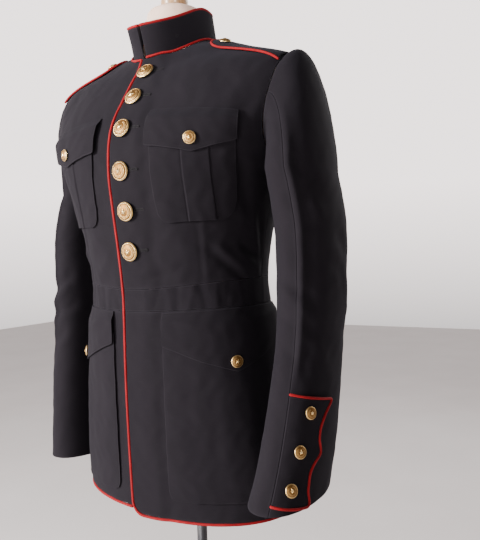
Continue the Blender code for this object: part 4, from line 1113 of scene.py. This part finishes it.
# Height, and width in degrees of the sleeve's ring
CUFF_FREE = (
    (0.0630, 54.0), (0.0680, 54.0), (0.0780, 48.0), (0.0940, 46.0), (0.1060, 54.0),
    (0.1120, 61.0), (0.1280, 54.0), (0.1410, 54.0), (0.1560, 61.0), (0.1690, 71.0),
)
CUFF_LOW, CUFF_TOP = CUFF_FREE[0][0], CUFF_FREE[-1][0]
CUFF_BUTTONS = ((0.1545, 35.0), (0.1130, 27.0), (0.0785, 24.0))
CUFFS = (("left", 1, LEFT_SLEEVE, LEFT_SEAM, 0.0), ("right", -1, RIGHT_SLEEVE, RIGHT_SEAM, 0.023))


def cuff_spot(z, f, drop):
    """Ring angle past the seam and height on a cuff flap, f of the way to its scalloped edge."""
    width = np.radians(CUFF_SEAM + (rounded_table(CUFF_FREE, z, 0.0022) - CUFF_SEAM) * f)
    return width, z - drop + CUFF_SLOPE * (1 - f)


for label, side, rows, seam, drop in CUFFS:
    width, heights = cuff_spot(edged(CUFF_LOW, CUFF_TOP, 70)[:, None], shares(0.05, 40), drop)
    points, normals = on_sleeve(rows, seam + width, heights)
    shell("cuff_flap_" + label, points, normals, np.stack([width * SLEEVE_RADIUS, heights], -1),
          (CUFF_LIFT + PATCH) * np.ones(width.shape), side, thick=PATCH, held="laid",
          rests_on=f"sleeve_{label}_outer", rounding=PATCH_ROUNDING)


# Shoulder straps, given by plan position over the shoulder

STRAP_DEPTH = 0.0026
STRAP_LIFT = 0.0012
# x, middle y and half width in millimetres, from the rounded tip to the sleeve head
STRAP_ROWS = MM * np.array([
    (81.5, -24, 4), (85, -24, 12), (92, -23.5, 19), (102, -23, 22.5), (115, -22, 23),
    (129, -21, 23.5), (144, -20, 24), (159, -19, 24.5), (174, -18, 24.8), (188.5, -17, 25),
])
near_angles, near_levels = np.meshgrid(np.linspace(0.2, 2.8, 130), np.linspace(8.8, NECK_LEVEL, 110))
NEAR_TOP = torso(near_angles, near_levels)[..., :2].reshape(-1, 2)


def over(x, y, lift=0.0):
    """Points of the shoulder above plan positions, and their normals."""
    x, y = alike(x, y)
    target = np.stack([x.ravel(), y.ravel()], -1)
    k = np.array([np.argmin(((NEAR_TOP - spot) ** 2).sum(-1)) for spot in target])
    angle, level = near_angles.ravel()[k], near_levels.ravel()[k]
    step = 1e-4
    for _ in range(14):  # steps towards the plan positions along the surface
        here = torso(angle, level)[:, :2]
        (a, b), (c, d) = ((torso(angle + step, level)[:, :2] - here).T / step,
                          (torso(angle, level - step)[:, :2] - here).T / -step)
        p, q = (target - here).T
        size = a * d - b * c
        size = np.where(np.abs(size) < 1e-9, 1e-9, size)
        angle = angle + np.clip((p * d - q * c) / size, -0.1, 0.1)
        level = np.minimum(level + np.clip((a * q - b * p) / size, -0.1, 0.1), NECK_LEVEL)
    normal = torso_normal(angle, level)
    points = torso(angle, level) + normal * np.broadcast_to(lift, x.shape).reshape(-1, 1)
    return points.reshape(*x.shape, 3), normal.reshape(*x.shape, 3)


def strap_outline(count):
    """Middle and half width along a strap, from its rounded tip to the sleeve head."""
    x = edged(STRAP_ROWS[0, 0], STRAP_ROWS[-1, 0], count)
    return x, *(np.interp(x, STRAP_ROWS[:, 0], STRAP_ROWS[:, k]) for k in (1, 2))


for side, label in SIDES:
    x, y, half = (v[:, None] for v in strap_outline(80))
    share = shares(0.05, 34) * 2 - 1
    plan_x, plan_y = alike(x, y + half * share)
    points, normals = over(plan_x, plan_y)
    shell("shoulder_strap_" + label, points, normals, np.stack([plan_y, plan_x], -1),
          STRAP_LIFT + STRAP_DEPTH + 0.0006 * (1 - share**2) * np.ones(plan_x.shape), side,
          thick=STRAP_DEPTH, held="laid", rests_on="front_" + label, rounding=0.0010)


# Buttons: domed gilt, a rope rim round a star in a wreath. Lengths over the button's own radius


def star_relief(r, turn):
    """A faceted five-pointed star."""
    step = pi / 5
    tip, notch = 0.40, 0.165
    a = np.abs(np.mod(turn + step, 2 * step) - step)
    x, y = notch * cos(step), notch * sin(step)
    reach = tip * y / (y * np.cos(a) - (x - tip) * np.sin(a))
    share = np.clip(1 - r / reach, 0, 1)
    return 0.035 * smooth(share / 0.12) + 0.075 * share


def wreath_relief(r, turn):
    """Two boughs of leaves, open at the top."""
    x, y = r * np.sin(turn), r * np.cos(turn)
    lift = np.zeros_like(r)
    for side in (1, -1):
        for k in range(11):
            middle = radians(176 - 14.0 * k) * side
            for bough, lean in ((0.555, 0.55), (0.690, -0.55)):
                along = middle - side * (pi / 2 + lean * 0.7)
                dx, dy = x - bough * sin(middle), y - bough * cos(middle)
                p = dx * sin(along) + dy * cos(along)
                q = dx * cos(along) - dy * sin(along)
                leaf = np.sqrt(np.clip(1 - (p / 0.105) ** 2 - (q / 0.040) ** 2, 0, 1))
                lift = np.maximum(lift, 0.050 * leaf * (1 - 0.35 * bell(q, 0, 0.010)))
    return lift


def button_relief(r, turn):
    """Height of the stamped face over the plain dome."""
    rope = np.sqrt(np.clip(1 - ((r - 0.905) / 0.062) ** 2, 0, 1))
    lift = 0.060 * rope * (0.70 + 0.30 * np.cos(44 * turn + 42 * (r - 0.905)))
    lift += np.where(r < 0.83, star_relief(r, turn) + wreath_relief(r, turn), 0)
    return lift - 0.030 * bell(r, 0.825, 0.018)


def button_mesh(name, rings, spokes):
    """A button of radius 1 facing +Z."""
    turn = np.linspace(0, 2 * pi, spokes, endpoint=False)
    r = np.concatenate([np.linspace(0.02, 0.83, rings), np.linspace(0.845, 0.97, 12), [0.985, 0.995]])
    r, turns = np.meshgrid(r, turn, indexing="ij")
    relief = button_relief(r, turns)
    z = 0.30 + 0.27 * (1 - r**2) + relief * np.minimum(1, (1 - r) / 0.02)
    face = np.stack([r * np.sin(turns), r * np.cos(turns), z], -1)
    back = [around_circle(radius, turn, 0, height) * (1, -1, 1) for radius, height in (
        (1.0, 0.285), (1.004, 0.255), (1.0, 0.215), (0.985, 0.190), (0.94, 0.175), (0.60, 0.172),
        (0.215, 0.170), (0.205, 0.150), (0.205, 0.024),
    )]
    points, faces = capped(np.concatenate([face, back]), [[0, 0, z[0].mean() + 0.003], [0, 0, 0.024]])
    if not facing_out(points, faces[0][: (len(face) - 1) * spokes], points + UP):
        faces = turned_over(faces)
    hollow = np.clip(1 - (relief - 0.02) / 0.045, 0, 1) * np.where(r < 0.97, 1, 0.3)
    hollow = np.concatenate([hollow.ravel(), np.full(len(back) * spokes, 0.35), [0.0, 0.6]])
    mesh = build_mesh(name, points, faces, hollow=hollow)
    mesh.set_sharp_from_angle(angle=radians(60))
    return mesh


BIG_BUTTON = button_mesh("button_big", 31, 168)
SMALL_BUTTON = button_mesh("button_small", 19, 100)


def button(name, side, place, spin, radius=SMALL_RADIUS, mesh=SMALL_BUTTON, up=(0, 0, 1)):
    """Sets a button with its shank's end on the cloth and its star upright."""
    point, normal = (np.asarray(v).reshape(3) * (side, 1, 1) for v in place)
    upright = unit(up - normal * (normal @ up))
    right = np.cross(upright, normal)
    x, y = right * cos(spin) + upright * sin(spin), upright * cos(spin) - right * sin(spin)
    copy = mesh.copy()
    copy.name = name
    turn = np.eye(4)
    turn[:3] = np.stack([x * radius, y * radius, normal * radius, point + SHIFT], -1)
    copy.transform(Matrix(turn))
    piece(name, copy, GILT)


FRONT_BUTTONS = (
    (0.0115, 0.6045, -0.0007, 0.10),
    (0.0080, 0.5675, 0.0, -0.22),
    (0.0055, 0.5230, 0.0002, 0.06),
    (0.0050, 0.4680, 0.0009, 0.31),
    (0.0060, 0.4160, 0.0001, -0.12),
    (0.0035, 0.3630, 0.0, 0.18),
)
for k, (d, z, sink, spin) in enumerate(FRONT_BUTTONS):
    button(f"button_front_{k + 1}", 1, on_body(d, z, lap_lift(d) - sink), spin, BUTTON_RADIUS, BIG_BUTTON)
for side, label in SIDES:
    button("button_chest_" + label, side, on_body(0.1055, 0.5035, CHEST_FLAP_LIFT + PATCH), 0.2 * side)
    button("button_hip_" + label, side, on_body(0.1400, 0.2125, FLAP_LIFT + PATCH + 0.0006), -0.3 * side)
    place = over(0.1000, -0.0270, STRAP_LIFT + STRAP_DEPTH + 0.0004)
    button("button_strap_" + label, side, place, 0.1, up=(-side, 0, 0.3))
for label, side, rows, seam, drop in CUFFS:
    for k, (z, turn) in enumerate(CUFF_BUTTONS):
        height = z - drop + CUFF_SLOPE * (1 - turn / table(CUFF_FREE, z))
        place = on_sleeve(rows, seam + radians(turn), height, CUFF_LIFT + PATCH)
        button(f"button_cuff_{label}_{k + 1}", side, place, 0.25 * k - 0.2, SMALL_RADIUS * 0.94)


# Piping: red cloth over a cord, beside an edge


def cord_bumps(run):
    """A cord covered by hand is never quite even."""
    return 1 + 0.020 * np.sin(run * 310.0) + 0.016 * np.sin(run * 173.0 + 1.3)


def tube_mesh(name, path, normals, radius, around=16, bumps=cord_bumps):
    """A round cord along a path; normals set where its cloth map starts."""
    run = run_along(path)
    along = unit(np.gradient(path, axis=0))
    u = unit(normals - along * (normals * along).sum(-1, keepdims=True))
    w = np.cross(along, u)
    turn = np.linspace(0, 2 * pi, around, endpoint=False)[:, None]
    size = (radius * bumps(run))[:, None, None]
    rings = path[:, None] + size * (u[:, None] * np.cos(turn) + w[:, None] * np.sin(turn))
    ends = [
        path[k] + way * along[k] * size[k] * 0.45 + 0.72 * (rings[k] - path[k])
        for k, way in ((0, -1), (-1, 1))
    ]
    tips = [path[0] - along[0] * radius * 0.6, path[-1] + along[-1] * radius * 0.6]
    points, faces = capped(np.concatenate([ends[:1], rings, ends[1:]]), tips)
    outward = (rings - path[:, None]).reshape(-1, 3)
    if not facing_out(rings.reshape(-1, 3), grid_faces(len(path), around, True), outward):
        faces = turned_over(faces)
    runs = np.concatenate([[-radius / 2], run, [run[-1] + radius / 2]])
    uv = np.stack(np.meshgrid(np.abs(turn[:, 0] - pi) * radius, runs), -1).reshape(-1, 2)
    return build_mesh(name, points + SHIFT, faces, np.concatenate([uv, [[0, runs[0]], [0, runs[-1]]]]))


def beside(points, normals, offset):
    """Points moved out of an edge path by an offset, square to the path and to the normals."""
    along = unit(np.diff(points, axis=0))
    outs = unit(np.cross(along, (normals[:-1] + normals[1:]) / 2))
    first = np.vstack([outs[:1], outs])
    middle = unit(first + np.vstack([outs, outs[-1:]]))
    return points + middle * offset / np.maximum((middle * first).sum(-1, keepdims=True), 0.6)


def even_path(points, normals):
    """The same path in short even steps, with its corners eased."""
    run = run_along(points)
    at = np.linspace(0, run[-1], max(int(run[-1] / 0.0022), 8) + 1)
    path, normals = (
        np.stack([np.interp(at, run, v[:, k]) for k in range(3)], -1) for v in (points, normals)
    )
    for _ in range(3):
        path[1:-1] = (path[:-2] + 2 * path[1:-1] + path[2:]) / 4
    return path, unit(normals)


def cord(name, points, normals, radius):
    piece(name, tube_mesh(name, points, normals, radius), RED)


def piping(name, points, normals, radius, side=1):
    path, normals = even_path(beside(points, normals, radius + CLEAR), normals)
    cord(name, path * (side, 1, 1), normals * (side, 1, 1), radius)


hem_end = float(back_length(0.0)) - 0.002
edge_z = np.concatenate([np.linspace(0.6275, 0.32, 110), np.linspace(0.318, CORNER + 0.001, 100)])
corner_turn = np.linspace(0, 1, 14)[1:] * pi / 2
first = float(left_edge(0.0))
run_d = np.concatenate([
    left_edge(edge_z),
    first + CORNER * (1 - np.cos(corner_turn)),
    np.linspace(first + CORNER, hem_end, 220)[1:],
])
run_z = np.concatenate([edge_z, CORNER * (1 - np.sin(corner_turn)), np.zeros(219)])
run_lift = lap_lift(run_d) - CLOTH / 2 + 0.0008 * (1 - smooth((run_d - 0.010) / 0.03))
piping("piping_front", *on_body(run_d, run_z, run_lift), PIPING_RADIUS)
run_d = np.linspace(0.0245, hem_end, 220)
run_z = right_rise(angle_at(run_d, 0.0))
piping("piping_hem_right", *on_body(run_d, run_z, np.full(220, -CLOTH / 2)), PIPING_RADIUS, -1)


def collar_piping():
    turns = np.linspace(COLLAR_END, 2 * pi - COLLAR_END, 220)
    edge, normals = collar_point(turns, 1.0), collar_normal(turns, 1.0)
    rise = unit(edge - collar_point(turns, 0.9))
    points = edge - normals * COLLAR_CLOTH / 2 + rise * PIPING_RADIUS * 0.95
    cord("piping_collar_top", points, normals, PIPING_RADIUS)
    turns = np.linspace(0.06, 2 * pi - 0.06, 220)
    n, c = torso_normal(turns, NECK_LEVEL), collar_normal(turns, 0.0)
    distances = distance_at(np.where(turns > pi, turns - 2 * pi, turns), NECK_LEVEL)
    # Lies in the corner, clear of the cloth and of the collar
    to_cloth = (SMALL_PIPING + 2 * CLEAR + np.where(distances > 0, lap_lift(distances), 0))[:, None]
    to_collar = SMALL_PIPING + CLEAR
    g = (n * c).sum(-1, keepdims=True)
    a = (to_cloth - g * to_collar) / (1 - g**2)
    b = (to_collar - g * to_cloth) / (1 - g**2)
    a, b = np.where(b < 0, to_cloth, a), np.maximum(b, 0)
    b = np.where(a < 0, to_collar, b)
    points = torso(turns, NECK_LEVEL) + n * np.maximum(a, 0) + c * b
    cord("piping_collar_base", *even_path(points, n + c), SMALL_PIPING)


collar_piping()
for side, label in SIDES:
    x, y, half = strap_outline(90)
    plan_y = np.concatenate([(y - half)[::-1], y + half])
    points, normals = over(np.concatenate([x[::-1], x]), plan_y, STRAP_LIFT + 0.0019)
    piping("piping_strap_" + label, points, -normals, SMALL_PIPING, side)
for label, side, rows, seam, drop in CUFFS:
    share = np.linspace(0, 1, 40)[:-1]
    z = np.concatenate([np.full(39, CUFF_TOP), np.linspace(CUFF_TOP, CUFF_LOW, 120), np.full(39, CUFF_LOW)])
    width, heights = cuff_spot(z, np.concatenate([share, np.ones(120), share[::-1]]), drop)
    points, normals = on_sleeve(rows, seam + width, heights, np.full(len(z), SMALL_PIPING + 0.0012))
    piping("piping_cuff_" + label, points, -normals, SMALL_PIPING, side)


# Sewing that lies on the cloth: purls of thread round slits; each slit is a thin dark cord of painted shade


def worked_hole(name, side, place, length, upright=False):
    """A worked buttonhole; place gives points for flat offsets."""
    half = 0.0013
    turn = np.linspace(0, 2 * pi, 40)
    c, s = np.cos(turn), np.sin(turn)
    purl = np.sign(c) * (length / 2 - half) * np.minimum(np.abs(c) * 2.5, 1) + half * c, half * s
    line = np.linspace(-length / 2 + 0.001, length / 2 - 0.001, 14)
    both = bmesh.new()
    for offsets, radius, around, bumps in (
        (purl, 0.00062, 8, lambda run: 1 + 0.16 * np.sin(run * 6000)),
        # The slit: a thin dark cord of painted shade where the cloth is cut open.
        ((line, line * 0), 0.00035, 6, np.ones_like),
    ):
        both.from_mesh(tube_mesh(name, *place(*offsets[:: -1 if upright else 1]), radius, around, bumps))
    mesh = bpy.data.meshes.new(name)
    both.to_mesh(mesh)
    both.free()
    if side < 0:
        to_middle = Matrix.Translation(Vector(SHIFT))
        mesh.transform(to_middle @ Matrix.Diagonal((-1, 1, 1, 1)) @ to_middle.inverted())
        mesh.flip_normals()
    piece(name, mesh, THREAD_AND_SLIT_SHADE, False)


def near_body(d0, z0, lift):
    return lambda d, z: on_body(d0 + d, z0 + z, lift(d0 + d, z0 + z))


def near_eyelet(along, across):
    spot = 0.60 + along / 0.070, 0.45 + across / 0.043
    normals = collar_normal(*spot)
    return collar_point(*spot) + normals * 2 * CLEAR, normals


worked_hole("collar_eyelet", 1, near_eyelet, 0.0042)
for k, (d, z, *rest) in enumerate(FRONT_BUTTONS):
    place = near_body(d + 0.0150, z + 0.0006, lambda d, z: lap_lift(d) + front_folds(d, z) + CLEAR)
    worked_hole(f"buttonhole_front_{k + 1}", 1, place, 0.022)
for side, label in SIDES:
    place = near_body(0.1400, 0.2275, lambda d, z: np.full_like(d, FLAP_LIFT + PATCH + 2 * CLEAR))
    worked_hole("buttonhole_hip_" + label, side, place, 0.016, True)


# Camera, lights and the pale surroundings


def placed(name, data, place=(0, 0, 0), target=None):
    obj = bpy.data.objects.new(name, data)
    bpy.context.scene.collection.objects.link(obj)
    obj.location = place
    if target:
        obj.rotation_euler = (Vector(target) - Vector(place)).to_track_quat("-Z", "Y").to_euler()
    return obj


def camera():
    """The photograph's viewpoint, found from the places of the buttons, seams and hem."""
    around, yaw, pitch, roll = (radians(a) for a in (35.0, 5.28, 1.77, 1.8))
    to_axis = np.array([-sin(around), cos(around), 0])
    sideways = np.array([cos(around), sin(around), 0])
    fwd = cos(yaw) * to_axis + sin(yaw) * sideways
    right = cos(yaw) * sideways - sin(yaw) * to_axis
    above = cos(pitch) * UP + sin(pitch) * fwd
    x = right * cos(roll) - above * sin(roll)
    y = above * cos(roll) + right * sin(roll)
    data = bpy.data.cameras.new("camera")
    data.lens, data.sensor_width, data.sensor_fit = 40.0, 36.0, "AUTO"
    data.clip_start = 0.05
    turn = np.eye(4)
    turn[:3, :3] = np.stack([x, y, sin(pitch) * UP - cos(pitch) * fwd], -1)
    turn[:3, 3] = np.array([0.92 * sin(around), -0.92 * cos(around), 0.358]) + SHIFT
    bpy.context.scene.camera = placed("camera", data)
    bpy.context.scene.camera.matrix_world = Matrix(turn)


def light(name, kind, place, target, power, colour=(1, 1, 1), **settings):
    data = bpy.data.lights.new(name, kind)
    data.energy, data.color = power, colour
    for key, value in settings.items():
        setattr(data, key, value)
    placed(name, data, place, target)


# Brightness of the plain room round the coat, from the floor up to the darker ceiling
ROOM = (
    (0.43, (1.00, 0.94, 0.93)),
    (0.55, (2.75, 2.50, 2.46)),
    (0.72, (2.75, 2.50, 2.46)),
    (0.84, (0.42, 0.40, 0.40)),
)
DIM_SIDE = (0.86, -0.50, 0.0)  # the room is darker on this side


def surroundings():
    mesh = bpy.data.meshes.new("floor")
    mesh.from_pydata([(-6, -6, 0), (6, -6, 0), (6, 6, 0), (-6, 6, 0)], [], [(0, 1, 2, 3)])
    s = Shader("pale_floor", (0.62, 0.59, 0.58), 0.7, specular_ior_level=0.1)
    mottled = s.ramp(s.noise(s.place(), 3.0, 4.0), 0.3, 0.7)
    mesh.materials.append(s.finish(s.mix(mottled, (0.68, 0.645, 0.635), (0.72, 0.685, 0.675))))
    placed("floor", mesh)
    world = bpy.data.worlds.new("studio")
    bpy.context.scene.world = world
    world.use_nodes = True
    w = Nodes(world.node_tree)
    way = w.node("TexCoord").outputs["Generated"]
    height = w.ramp(w.node("SeparateXYZ", {"Vector": way}).outputs["Z"], -1.0, 1.0)
    shades = w.node("ValToRGB", {"Fac": height})
    stops = shades.color_ramp.elements
    while len(stops) < len(ROOM):
        stops.new(0.5)
    for stop, (place, colour) in zip(stops, ROOM):
        stop.position, stop.color = place, (*colour, 1)
    side = w.node("VectorMath", {0: way, 1: DIM_SIDE}, operation="DOT_PRODUCT").outputs["Value"]
    back = w.tree.nodes["Background"].inputs
    w.put(back["Color"], shades.outputs["Color"])
    w.put(back["Strength"], w.ramp(side, -0.35, 0.45, 1.0, 0.20))
    light("key", "AREA", (-1.40, -2.10, 1.50), (0, 0, 0.93), 215, (1.0, 0.97, 0.95), size=0.6)
    light("fill", "AREA", (-0.1, -2.4, 0.45), (0, 0, 0.9), 26, (1.0, 0.97, 0.97), size=0.9)
    light("rim", "AREA", (0.6, 2.2, 2.0), (0, 0, 1.0), 20, size=1.2)
    light("collar_light", "SPOT", (1.15, -1.45, 1.25), (0.0, -0.03, 1.235), 110,
          spot_size=radians(13), spot_blend=1.0, shadow_soft_size=0.12)


camera()
surroundings()
